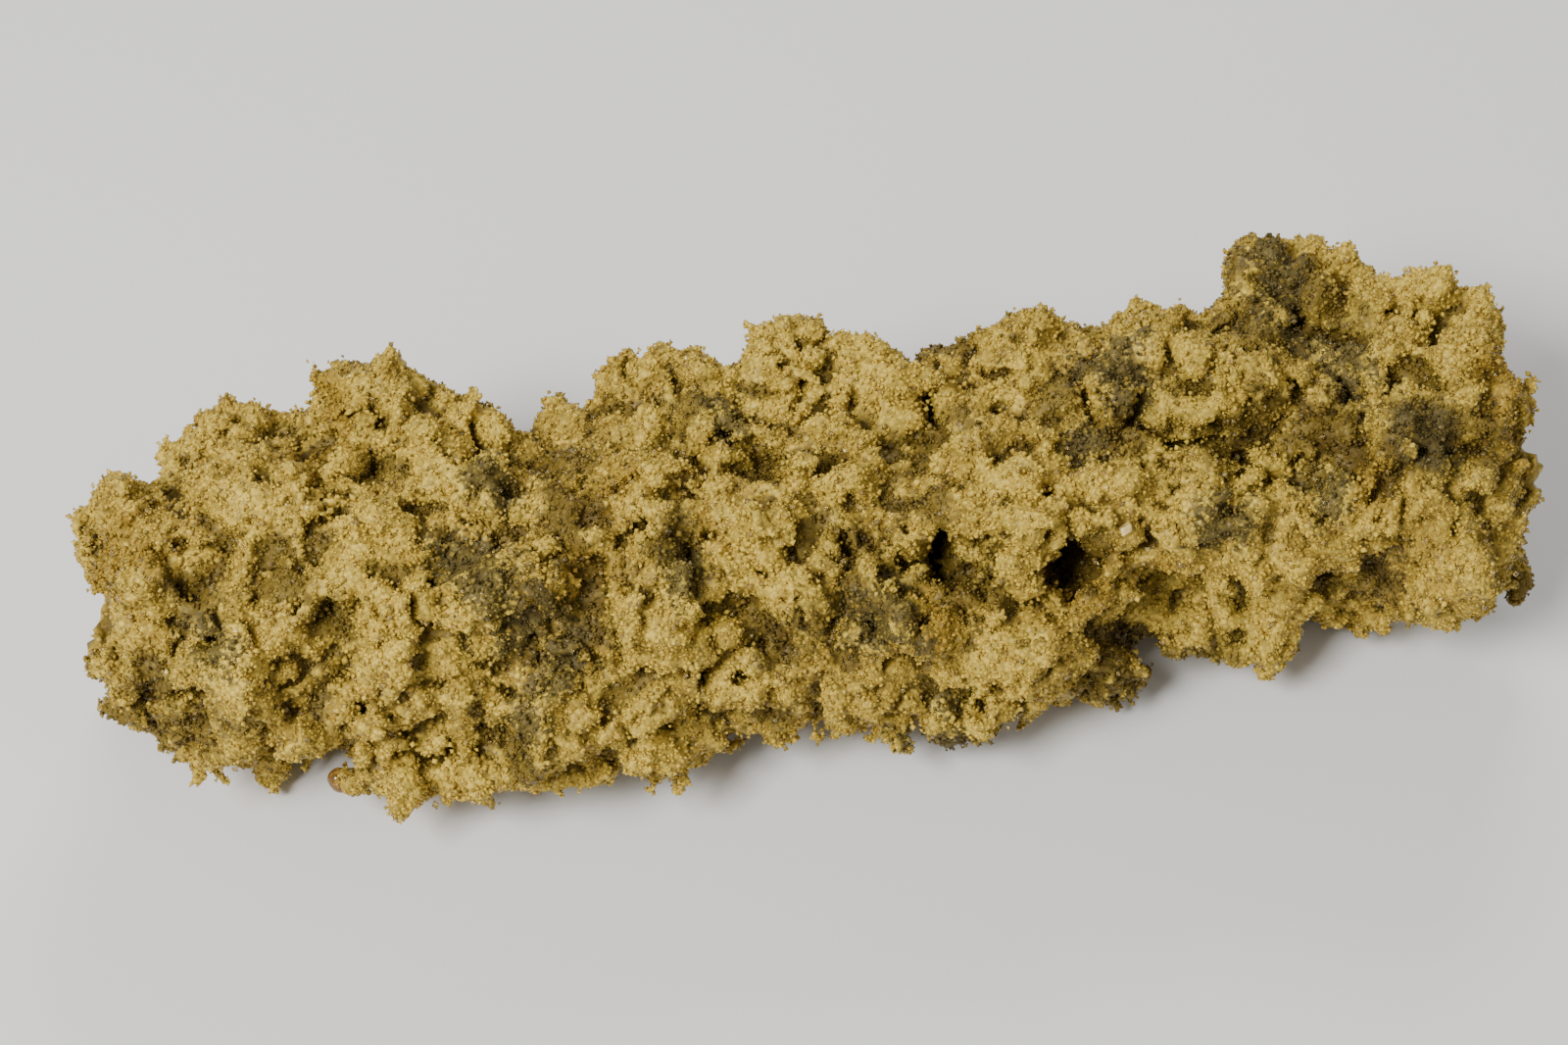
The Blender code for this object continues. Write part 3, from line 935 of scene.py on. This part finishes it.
@dataclass
class GlassCrust:
    """The body of the tube: one folded, pitted skin grown round the plain solid."""

    seen: SeenSurface
    voxel: float = 0.37
    base_voxel: float = 0.5
    gap_voxel: float = 0.25
    most_triangles: int = 196000
    margin: float = 3.2
    gap_mouth: float = 1.6
    drift_breadth: float = 2.9
    drift_reach: float = 0.55
    ragged_breadth: float = 1.1
    ragged_reach: float = 0.2
    swell_breadth: float = 6.0
    swell_height: float = 2.6
    lump_breadth: float = 4.2
    lump_height: float = 2.2
    knob_breadth: float = 1.8
    knob_height: float = 2.5
    crumb_breadth: float = 0.95
    crumb_height: float = 1.6
    crinkle_breadth: float = 0.75
    crinkle_height: float = 0.9
    pore_breadth: float = 1.7
    pore_start: float = 0.59
    pore_depth: float = 13.0
    rise: float = -0.1
    lining_calm: float = 0.85
    channel_far: float = 7.2
    channel_near: float = 5.2
    island: str = "island"

    def plain_copy(self) -> bpy.types.Object:
        """A whole copy of the CAD solid with its knobs added, its facets eased."""
        shape = bmesh.new()
        shape.from_mesh(self.seen.node.data)
        bmesh.ops.remove_doubles(shape, verts=shape.verts, dist=1e-6)
        for knob in KNOBS:
            matrix = Matrix.Translation(self.seen.knob_middle(knob) * MM)
            radius = knob.radius * MM
            bmesh.ops.create_icosphere(shape, subdivisions=3, radius=radius, matrix=matrix)
        mesh = finished_mesh("plain", shape)
        plain = add_object("plain", mesh)
        remesh = plain.modifiers.new("even", "REMESH")
        remesh.mode = "VOXEL"
        remesh.voxel_size = self.base_voxel * MM
        ease = plain.modifiers.new("ease", "SMOOTH")
        ease.iterations = 1
        return plain

    def gaps(self) -> bpy.types.Object:
        """The space inside the gaps, as one solid."""
        shape = bmesh.new()
        way = -self.seen.view.back
        for gap in GAPS:
            start = self.seen.place(gap.column, gap.row)
            end = self.seen.place(gap.to_column, gap.to_row)
            across = max(2, math.ceil((end - start).length / gap.half_width) + 1)
            down = math.ceil((gap.depth + self.gap_mouth) / gap.half_width) + 1
            for number in range(across * down):
                along, into = number % across, number // across
                place = start.lerp(end, along / (across - 1))
                place += way * (into * gap.half_width - self.gap_mouth)
                size = gap.half_width * (1.15 - 0.35 * into / down)
                matrix = Matrix.Translation(place * MM)
                bmesh.ops.create_icosphere(shape, subdivisions=1, radius=size * MM, matrix=matrix)
        mesh = finished_mesh("gaps", shape)
        gaps = add_object("gaps", mesh)
        remesh = gaps.modifiers.new("join", "REMESH")
        remesh.mode = "VOXEL"
        remesh.voxel_size = self.gap_voxel * MM
        return gaps

    def depth_in(
        self, write: NodeWriter, solid: bpy.types.NodeSocket, place: bpy.types.NodeSocket
    ) -> tuple[bpy.types.NodeSocket, bpy.types.NodeSocket]:
        """Reads how deep a place is in a solid, and which way the nearest skin faces.

        Args:
            write: What adds the nodes.
            solid: The solid's geometry.
            place: The place, in millimetres.

        Returns:
            The depth in millimetres, negative outside, and the nearest skin's normal.
        """
        here = write.scaled(place, MM)
        near = write.add("GeometryNodeProximity")
        write.feed(near.inputs[0], solid)
        write.feed(near.inputs["Sample Position"], here)
        facing = write.add("GeometryNodeSampleNearestSurface", data_type="FLOAT_VECTOR")
        write.feed(facing.inputs["Mesh"], solid)
        write.feed(facing.inputs["Value"], write.add("GeometryNodeInputNormal").outputs[0])
        write.feed(facing.inputs["Sample Position"], here)
        away = write.vector("SUBTRACT", here, near.outputs["Position"])
        side = write.sum("SIGN", write.vector("DOT_PRODUCT", away, facing.outputs["Value"]))
        outside = write.sum("MULTIPLY", near.outputs["Distance"], side)
        return write.sum("MULTIPLY", outside, -1.0 / MM), facing.outputs["Value"]

    def calm_share(
        self, write: NodeWriter, place: bpy.types.NodeSocket, facing: bpy.types.NodeSocket
    ) -> bpy.types.NodeSocket:
        """How strongly the relief shows: 1 on the outside, and little on the channel's wall."""
        middle = (0, 0, self.seen.axis.height)
        out = write.vector("MULTIPLY", write.vector("SUBTRACT", place, middle), (0, 1, 1))
        outward = write.vector("NORMALIZE", out)
        inward = write.between(write.vector("DOT_PRODUCT", facing, outward), 0.2, -0.5)
        near = write.between(write.vector("LENGTH", out), self.channel_far, self.channel_near)
        lining = write.sum("MULTIPLY", inward, near)
        return write.sum("MULTIPLY_ADD", lining, -self.lining_calm, 1.0)

    def relief(self, write: NodeWriter, place: bpy.types.NodeSocket) -> bpy.types.NodeSocket:
        """The lumps, knobs, crumbs and pores that are added to the solid, in millimetres."""
        swell = write.sum("SUBTRACT", write.clouds(place, self.swell_breadth), 0.5)
        lump = write.domes(place, self.lump_breadth, 0.3)
        knob = write.domes(place, self.knob_breadth, 0.2)
        crumb = write.domes(place, self.crumb_breadth, 0.1)
        crinkle = write.sum("SUBTRACT", write.clouds(place, self.crinkle_breadth, 1.0, 8.0), 0.5)
        clouds = write.clouds(place, self.pore_breadth, 2.0, 31.0)
        pore = write.sum("MAXIMUM", write.sum("SUBTRACT", clouds, self.pore_start), 0.0)
        height = write.sum("MULTIPLY_ADD", swell, self.swell_height, self.rise)
        for part, size in (
            (lump, self.lump_height),
            (knob, self.knob_height),
            (crumb, self.crumb_height),
            (crinkle, self.crinkle_height),
            (pore, -self.pore_depth),
        ):
            height = write.sum("MULTIPLY_ADD", part, size, height)
        return height

    def growth(self, gaps: bpy.types.Object) -> bpy.types.NodeTree:
        """Writes the nodes that fill a block of space with the crust's density and skin it.

        Args:
            gaps: The space inside the gaps.

        Returns:
            The nodes, for the plain copy's modifier.
        """
        tree = bpy.data.node_groups.new("grow_crust", "GeometryNodeTree")
        tree.interface.new_socket("Solid", in_out="INPUT", socket_type="NodeSocketGeometry")
        tree.interface.new_socket("Crust", in_out="OUTPUT", socket_type="NodeSocketGeometry")
        write = NodeWriter(tree)
        solid = write.add("NodeGroupInput").outputs[0]
        here = write.add("GeometryNodeInputPosition").outputs["Position"]
        place = write.scaled(here, 1.0 / MM)
        drifted = write.drifted(place, self.drift_breadth, self.drift_reach)
        drifted = write.drifted(drifted, self.ragged_breadth, self.ragged_reach)
        depth, facing = self.depth_in(write, solid, drifted)
        share = self.calm_share(write, place, facing)
        density = write.sum("MULTIPLY_ADD", self.relief(write, drifted), share, depth)
        space = write.add("GeometryNodeObjectInfo")
        space.inputs["Object"].default_value = gaps
        inside, _ = self.depth_in(write, space.outputs["Geometry"], drifted)
        density = write.sum("MINIMUM", density, write.sum("MULTIPLY", inside, -1.0))
        apart = write.add("ShaderNodeSeparateXYZ")
        write.feed(apart.inputs[0], place)
        density = write.sum("MINIMUM", density, apart.outputs["Z"])
        block = write.add("GeometryNodeVolumeCube")
        write.feed(block.inputs["Density"], density)
        block.inputs["Background"].default_value = -5.0
        low, high = (np.array(corner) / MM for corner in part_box(self.seen.node.name))
        low = low - (self.margin, self.margin, 2 * self.voxel)
        high = high + self.margin
        block.inputs["Min"].default_value = tuple(low * MM)
        block.inputs["Max"].default_value = tuple(high * MM)
        for letter, side in zip("XYZ", high - low):
            block.inputs[f"Resolution {letter}"].default_value = round(side / self.voxel)
        skin = write.add("GeometryNodeVolumeToMesh", resolution_mode="GRID")
        write.feed(skin.inputs["Volume"], block.outputs["Volume"])
        skin.inputs["Threshold"].default_value = 0.0
        keep = write.add("GeometryNodeStoreNamedAttribute", data_type="INT", domain="FACE")
        keep.inputs["Name"].default_value = self.island
        write.feed(keep.inputs["Geometry"], skin.outputs["Mesh"])
        island = write.add("GeometryNodeInputMeshIsland").outputs["Island Index"]
        write.feed(keep.inputs["Value"], island)
        write.feed(write.add("NodeGroupOutput").inputs[0], keep.outputs["Geometry"])
        return tree

    def drop_crumbs(self, mesh: bpy.types.Mesh) -> None:
        """Deletes every piece of the skin that isn't joined to the largest one."""
        islands = np.empty(len(mesh.polygons), np.int32)
        mesh.attributes[self.island].data.foreach_get("value", islands)
        largest = np.bincount(islands).argmax()
        shape = bmesh.new()
        shape.from_mesh(mesh)
        loose = [face for face, island in zip(shape.faces, islands) if island != largest]
        bmesh.ops.delete(shape, geom=loose, context="FACES")
        bmesh.ops.recalc_face_normals(shape, faces=shape.faces)
        shape.to_mesh(mesh)
        shape.free()
        mesh.attributes.remove(mesh.attributes[self.island])

    def map_for_bake(self, mesh: bpy.types.Mesh) -> None:
        """Lays the skin out by its distance along the tube and its clock angle.

        The outside takes the lower three quarters of the map, and the channel the rest.
        """
        points = coordinates(mesh)
        axis = self.seen.axis
        along, clock, out = axis.around(points)
        corners = np.empty(len(mesh.loops), np.int32)
        mesh.loops.foreach_get("vertex_index", corners)
        starts = np.empty(len(mesh.polygons), np.int32)
        mesh.polygons.foreach_get("loop_start", starts)
        totals = np.empty(len(mesh.polygons), np.int32)
        mesh.polygons.foreach_get("loop_total", totals)
        turn = clock[corners] / 360.0
        least = np.minimum.reduceat(turn, starts)
        most = np.maximum.reduceat(turn, starts)
        wraps = np.repeat(most - least > 0.5, totals)
        turn = np.where(wraps & (turn < 0.5), turn + 1.0, turn) / 1.06
        spread = along + np.sign(along) * np.where(np.abs(along) > 38, axis.reach - out, 0)
        across = (spread[corners] + 54.0) / 108.0
        inner = out < 5.6
        inside = np.repeat(np.logical_and.reduceat(inner[corners], starts), totals)
        up = np.where(inside, 0.76 + 0.235 * turn, 0.005 + 0.735 * turn)
        layer = mesh.uv_layers.new(name="OFBake")
        flat = np.column_stack((np.clip(across, 0.002, 0.998), up)).astype(np.float32)
        layer.uv.foreach_set("vector", flat.ravel())

    def thinned(self, grown: bpy.types.Object) -> bpy.types.Mesh:
        """The mesh with few enough triangles, the flatter places losing the most."""
        grown.data.calc_loop_triangles()
        thin = grown.modifiers.new("thin", "DECIMATE")
        thin.ratio = min(1.0, self.most_triangles / len(grown.data.loop_triangles))
        graph = bpy.context.evaluated_depsgraph_get()
        mesh = bpy.data.meshes.new_from_object(grown.evaluated_get(graph))
        bpy.data.objects.remove(grown)
        return mesh

    def build(self) -> bpy.types.Object:
        """Grows the crust.

        Returns:
            The crust, with no finish yet.
        """
        plain = self.plain_copy()
        gaps = self.gaps()
        plain.modifiers.new("grow", "NODES").node_group = self.growth(gaps)
        graph = bpy.context.evaluated_depsgraph_get()
        mesh = bpy.data.meshes.new_from_object(plain.evaluated_get(graph))
        mesh.materials.clear()
        bpy.data.objects.remove(plain)
        bpy.data.objects.remove(gaps)
        self.drop_crumbs(mesh)
        mesh = self.thinned(add_object("grown", mesh))
        mesh.name = "crust"
        self.map_for_bake(mesh)
        mesh.polygons.foreach_set("use_smooth", np.ones(len(mesh.polygons), bool))
        return add_object("crust", mesh)


@dataclass(frozen=True)
class GrainPlaces:
    """Where a batch of grains sits: places, directions and the crust's own values there."""

    points: np.ndarray
    normals: np.ndarray
    values: dict[str, np.ndarray]


@dataclass
class CrustSurface:
    """The crust's skin as somewhere to put things."""

    mesh: bpy.types.Mesh
    axis: TubeAxis
    values: dict[str, np.ndarray]
    bare_within: float = 4.6
    lowest: float = 0.22
    share_under: float = 0.5

    def __post_init__(self) -> None:
        """Reads the skin's triangles once."""
        self.mesh.calc_loop_triangles()
        corners = np.empty(len(self.mesh.loop_triangles) * 3, np.int32)
        self.mesh.loop_triangles.foreach_get("vertices", corners)
        self.numbers = corners.reshape(-1, 3)
        self.corners = coordinates(self.mesh)[self.numbers]
        sides = self.corners[:, 1:] - self.corners[:, :1]
        cross = np.cross(sides[:, 0], sides[:, 1])
        size = np.linalg.norm(cross, axis=1)
        self.normals = cross / np.maximum(size, 1e-9)[:, None]
        middles = self.corners.mean(axis=1)
        _, _, out = self.axis.around(middles)
        bare = (out < self.bare_within) | (middles[:, 2] < self.lowest)
        under = np.where(self.normals[:, 2] < -0.4, self.share_under, 1.0)
        self.weights = np.where(bare, 0.0, size * under)
        self.tree = BVHTree.FromPolygons(
            self.corners.reshape(-1, 3).tolist(),
            np.arange(self.corners.shape[0] * 3).reshape(-1, 3).tolist(),
        )

    def scatter(self, count: int, rng: np.random.Generator) -> GrainPlaces:
        """Picks places evenly over the outside.

        Args:
            count: How many.
            rng: The source of chance.

        Returns:
            The places, in millimetres, and the skin's direction at each.
        """
        picked = rng.choice(len(self.weights), count, p=self.weights / self.weights.sum())
        first, second = rng.random((2, count))
        over = first + second > 1
        first, second = np.where(over, 1 - first, first), np.where(over, 1 - second, second)
        base, left, right = np.moveaxis(self.corners[picked], 1, 0)
        points = base + (left - base) * first[:, None] + (right - base) * second[:, None]
        near = self.numbers[picked]
        values = {name: value[near].mean(axis=1) for name, value in self.values.items()}
        return GrainPlaces(points, self.normals[picked], values)


@dataclass
class GrainBatch:
    """Sand grains of one grade, joined into one piece."""

    name: str
    sides: int
    diameters: tuple[float, float]
    count: int
    sink: float = 0.13
    piled: float = 0.15
    uneven: float = 0.28

    def pattern(self) -> tuple[np.ndarray, np.ndarray]:
        """One plain grain: its vertices, and its triangles by vertex number."""
        shape = bmesh.new()
        bmesh.ops.create_uvsphere(shape, u_segments=self.sides, v_segments=2, radius=0.5)
        bmesh.ops.triangulate(shape, faces=shape.faces)
        shape.verts.index_update()
        points = np.array([vert.co[:] for vert in shape.verts])
        faces = np.array([[vert.index for vert in face.verts] for face in shape.faces])
        shape.free()
        return points, faces

    def turns(self, rng: np.random.Generator) -> np.ndarray:
        """A rotation matrix for each grain, from even random quaternions."""
        w, x, y, z = (lambda q: q / np.linalg.norm(q, axis=0))(rng.normal(size=(4, self.count)))
        return np.moveaxis(np.array((
            (1 - 2 * (y * y + z * z), 2 * (x * y - w * z), 2 * (x * z + w * y)),
            (2 * (x * y + w * z), 1 - 2 * (x * x + z * z), 2 * (y * z - w * x)),
            (2 * (x * z - w * y), 2 * (y * z + w * x), 1 - 2 * (x * x + y * y)),
        )), 2, 0)

    def cells(self, triangles: int) -> np.ndarray:
        """A map with a square for each grain, which all its triangles share.

        Args:
            triangles: How many triangles a grain has.

        Returns:
            Two map coordinates for each corner of each triangle.
        """
        across = math.ceil(math.sqrt(self.count))
        number = np.arange(self.count)
        corner = np.column_stack((number % across, number // across))[:, None, None]
        shape = np.array(((0.08, 0.08), (0.92, 0.08), (0.08, 0.92)))[None, None]
        spread = np.broadcast_to(corner + shape, (self.count, triangles, 3, 2))
        return (spread / across).astype(np.float32)

    def build(self, places: GrainPlaces, seed: int) -> bpy.types.Object:
        """Builds the batch.

        Args:
            places: Where the grains sit.
            seed: The seed of its chance.

        Returns:
            The batch, with no finish yet.
        """
        rng = np.random.default_rng(seed)
        base, faces = self.pattern()
        low, high = self.diameters
        size = low + (high - low) * rng.beta(1.6, 3.0, self.count)
        piled = rng.random(self.count) < self.piled
        sink = np.where(piled, rng.uniform(0.3, 1.1, self.count), self.sink)
        centres = places.points + places.normals * (size * sink)[:, None]
        centres[:, 2] = np.maximum(centres[:, 2], size * 0.62)
        uneven = rng.uniform(1 - self.uneven, 1 + self.uneven, (self.count, len(base), 1))
        stretch = rng.uniform(0.72, 1.25, (self.count, 1, 3))
        shaped = base[None] * uneven * stretch * size[:, None, None]
        points = np.einsum("nij,nkj->nki", self.turns(rng), shaped) + centres[:, None]
        points[:, :, 2] = np.maximum(points[:, :, 2], 0.01)
        mesh = bpy.data.meshes.new(self.name)
        numbers = faces[None] + (np.arange(self.count) * len(base))[:, None, None]
        self.fill(mesh, points.reshape(-1, 3) * MM, numbers.reshape(-1, 3))
        layer = mesh.uv_layers.new(name="OFBake")
        layer.uv.foreach_set("vector", self.cells(len(faces)).ravel())
        read = dict(places.values)
        read["kind"], read["shade"], read["polish"] = rng.random((3, self.count))
        for name, values in read.items():
            store(mesh, name, np.repeat(values, len(base)))
        return add_object(self.name, mesh)

    @staticmethod
    def fill(mesh: bpy.types.Mesh, points: np.ndarray, faces: np.ndarray) -> None:
        """Puts vertices, in metres, and triangles into an empty mesh."""
        mesh.vertices.add(len(points))
        mesh.vertices.foreach_set("co", points.astype(np.float32).ravel())
        mesh.loops.add(faces.size)
        mesh.loops.foreach_set("vertex_index", faces.astype(np.int32).ravel())
        mesh.polygons.add(len(faces))
        mesh.polygons.foreach_set("loop_start", np.arange(len(faces), dtype=np.int32) * 3)
        mesh.update(calc_edges=True)
        mesh.validate()


@dataclass
class GlassDrop:
    """A droplet of clear glass that ran into a hollow and froze there."""

    column: int = 322
    row: int = 798
    radius: float = 0.72
    sag: float = 0.35
    uneven: float = 0.12
    uneven_pitch: float = 1.4
    proud: float = 0.15

    def build(self, surface: CrustSurface, seen: SeenSurface) -> bpy.types.Object:
        """Builds the droplet on the nearest crust.

        Args:
            surface: The crust's skin.
            seen: The plain solid as the camera sees it.

        Returns:
            The droplet, with no finish yet.
        """
        place, normal, _, _ = surface.tree.find_nearest(seen.place(self.column, self.row))
        shape = bmesh.new()
        bmesh.ops.create_icosphere(shape, subdivisions=3, radius=self.radius)
        for vert in shape.verts:
            vert.co *= 1 + self.uneven * noise.noise(vert.co * self.uneven_pitch)
            if vert.co.z < 0:
                vert.co.z *= 1 + self.sag
        middle = place + normal * self.radius * self.proud
        bmesh.ops.transform(shape, matrix=Matrix.Translation(middle), verts=shape.verts)
        bmesh.ops.transform(shape, matrix=Matrix.Scale(MM, 4), verts=shape.verts)
        mesh = finished_mesh("glass_drop", shape)
        mesh.polygons.foreach_set("use_smooth", np.ones(len(mesh.polygons), bool))
        return add_object("glass_drop", mesh)


@dataclass
class QuartzChip:
    """A single white quartz grain, bigger than the rest, stuck to the crust."""

    column: int = 1150
    row: int = 537
    sides: tuple[float, float, float] = (0.50, 0.36, 0.38)
    uneven: float = 0.55

    def build(self, surface: CrustSurface, seen: SeenSurface) -> bpy.types.Object:
        """Builds the chip on the nearest crust.

        Args:
            surface: The crust's skin.
            seen: The plain solid as the camera sees it.

        Returns:
            The chip, with no finish yet.
        """
        place, normal, _, _ = surface.tree.find_nearest(seen.place(self.column, self.row))
        shape = bmesh.new()
        bmesh.ops.create_cube(shape, size=1.6)
        bmesh.ops.bevel(shape, geom=shape.edges[:], offset=0.3, segments=1, affect="EDGES")
        for vert in shape.verts:
            vert.co *= 1 + self.uneven * noise.noise(vert.co * 0.9)
        bmesh.ops.scale(shape, vec=Vector(self.sides), verts=shape.verts)
        middle = place + normal * self.sides[2] * 0.5
        turn = normal.to_track_quat("Z", "Y").to_matrix().to_4x4()
        moved = Matrix.Scale(MM, 4) @ Matrix.Translation(middle) @ turn
        bmesh.ops.transform(shape, matrix=moved, verts=shape.verts)
        mesh = finished_mesh("quartz_chip", shape)
        return add_object("quartz_chip", mesh)


@dataclass
class Fulgurite:
    """The whole object: the crust, its grains and its droplet, dressed and told to the frame."""

    node_name: str = "fulgurite"
    fine_batches: int = 2
    fine_grains: int = 32600
    coarse_grains: int = 19500
    clear_grains: int = 4000
    seed: int = 21

    def batches(self) -> list[tuple[GrainBatch, Grade]]:
        """The batches of grains, each with its grade."""
        made = [
            (GrainBatch(Grade.COARSE.value, 4, (0.30, 0.52), self.coarse_grains), Grade.COARSE),
            (GrainBatch(Grade.CLEAR.value, 4, (0.30, 0.56), self.clear_grains), Grade.CLEAR),
        ]
        for number in range(1, self.fine_batches + 1):
            name = f"{Grade.FINE.value}_{number}"
            made.append((GrainBatch(name, 3, (0.22, 0.42), self.fine_grains), Grade.FINE))
        sugar = GrainBatch(Grade.SUGAR.value, 3, (0.24, 0.46), self.fine_grains)
        made.append((sugar, Grade.SUGAR))
        return made

    def settle(self, piece: bpy.types.Object, material: bpy.types.Material) -> None:
        """Dresses a piece and tells the frame what it is."""
        piece.data.materials.append(material)
        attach(piece, "root")
        LOG.info("%s: %d faces", piece.name, len(piece.data.polygons))

    def build(self) -> None:
        """Builds every piece of the object."""
        axis = TubeAxis()
        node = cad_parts[self.node_name]
        seen = SeenSurface(View(), axis, node)
        crust = GlassCrust(seen).build()
        # The brown zone and the hollow and proud strengths carry painted shade and painted highlights.
        stain_and_shade_zones = StainMap(seen).read(coordinates(crust.data))
        values = {**stain_and_shade_zones, **Surroundings(axis).read(crust.data)}
        for name, value in values.items():
            store(crust.data, name, value)
        self.settle(crust, CrustFinish().material())
        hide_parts(self.node_name)
        surface = CrustSurface(crust.data, axis, values)
        rng = np.random.default_rng(self.seed)
        finishes = {Grade.COARSE: GrainFinish().material()}
        finishes[Grade.FINE] = finishes[Grade.COARSE]
        finishes[Grade.CLEAR] = ClearFinish("clear_quartz").material()
        finishes[Grade.SUGAR] = SugarFinish().material()
        for number, (batch, grade) in enumerate(self.batches()):
            places = surface.scatter(batch.count, rng)
            piece = batch.build(places, self.seed + number)
            self.settle(piece, finishes[grade])
        amber = ClearFinish("drop_glass", (0.80, 0.56, 0.20), 0.02)
        self.settle(GlassDrop().build(surface, seen), amber.material())
        milk = ClearFinish("chip_quartz", (0.95, 0.79, 0.38), 0.22, through=0.15)
        self.settle(QuartzChip().build(surface, seen), milk.material())


@dataclass(frozen=True)
class Lamp:
    """A square soft light that faces the object.

    Azimuth is in degrees to the right of straight in front, elevation in degrees above the
    horizon, distance and width in millimetres and power in watts.
    """

    name: str
    azimuth: float
    elevation: float
    distance: float
    width: float
    power: float


@dataclass
class Studio:
    """The camera, the pale floor and the soft lights."""

    view: View = field(default_factory=View)
    lamps: tuple[Lamp, ...] = (
        Lamp("key", -50.0, 50.0, 420.0, 140.0, 2.35),
        Lamp("fill", 45.0, 40.0, 500.0, 260.0, 0.3),
        Lamp("rim", 165.0, 40.0, 450.0, 160.0, 0.9),
    )
    floor_colour: Colour = (0.80, 0.79, 0.77)
    floor_roughness: float = 0.9
    sky_colour: Colour = (1.0, 0.99, 0.97)
    sky_strength: float = 0.25

    def add_camera(self) -> None:
        """Adds the camera."""
        data = bpy.data.cameras.new("camera")
        data.lens = self.view.lens
        data.sensor_width = self.view.sensor
        data.clip_start = 0.005
        camera = bpy.data.objects.new("camera", data)
        camera.location = self.view.eye * MM
        camera.rotation_euler = self.view.back.to_track_quat("Z", "Y").to_euler()
        bpy.context.scene.collection.objects.link(camera)
        bpy.context.scene.camera = camera

    def add_light(self, lamp: Lamp) -> None:
        """Adds a lamp, aimed at the object."""
        data = bpy.data.lights.new(lamp.name, "AREA")
        data.size = lamp.width * MM
        data.energy = lamp.power
        light = bpy.data.objects.new(lamp.name, data)
        _, _, back = self.view.directions(lamp.azimuth, lamp.elevation)
        light.location = (Vector(self.view.middle) + back * lamp.distance) * MM
        light.rotation_euler = back.to_track_quat("Z", "Y").to_euler()
        bpy.context.scene.collection.objects.link(light)

    def add_floor(self) -> None:
        """Adds the pale floor."""
        shape = bmesh.new()
        bmesh.ops.create_grid(shape, x_segments=1, y_segments=1, size=2.0)
        mesh = finished_mesh("floor", shape)
        material = bpy.data.materials.new("floor_paper")
        material.use_nodes = True
        shader = material.node_tree.nodes["Principled BSDF"]
        shader.inputs["Base Color"].default_value = (*self.floor_colour, 1.0)
        shader.inputs["Roughness"].default_value = self.floor_roughness
        mesh.materials.append(material)
        add_object("floor", mesh)

    def build(self) -> None:
        """Sets the whole studio up."""
        self.add_camera()
        self.add_floor()
        for lamp in self.lamps:
            self.add_light(lamp)
        world = bpy.data.worlds.new("studio")
        world.use_nodes = True
        sky = world.node_tree.nodes["Background"]
        sky.inputs["Color"].default_value = (*self.sky_colour, 1.0)
        sky.inputs["Strength"].default_value = self.sky_strength
        bpy.context.scene.world = world


def main() -> None:
    """Builds the fulgurite and its studio."""
    logging.basicConfig(level=logging.INFO, format="%(message)s")
    Fulgurite().build()
    Studio().build()


if __name__ == "__main__":
    main()
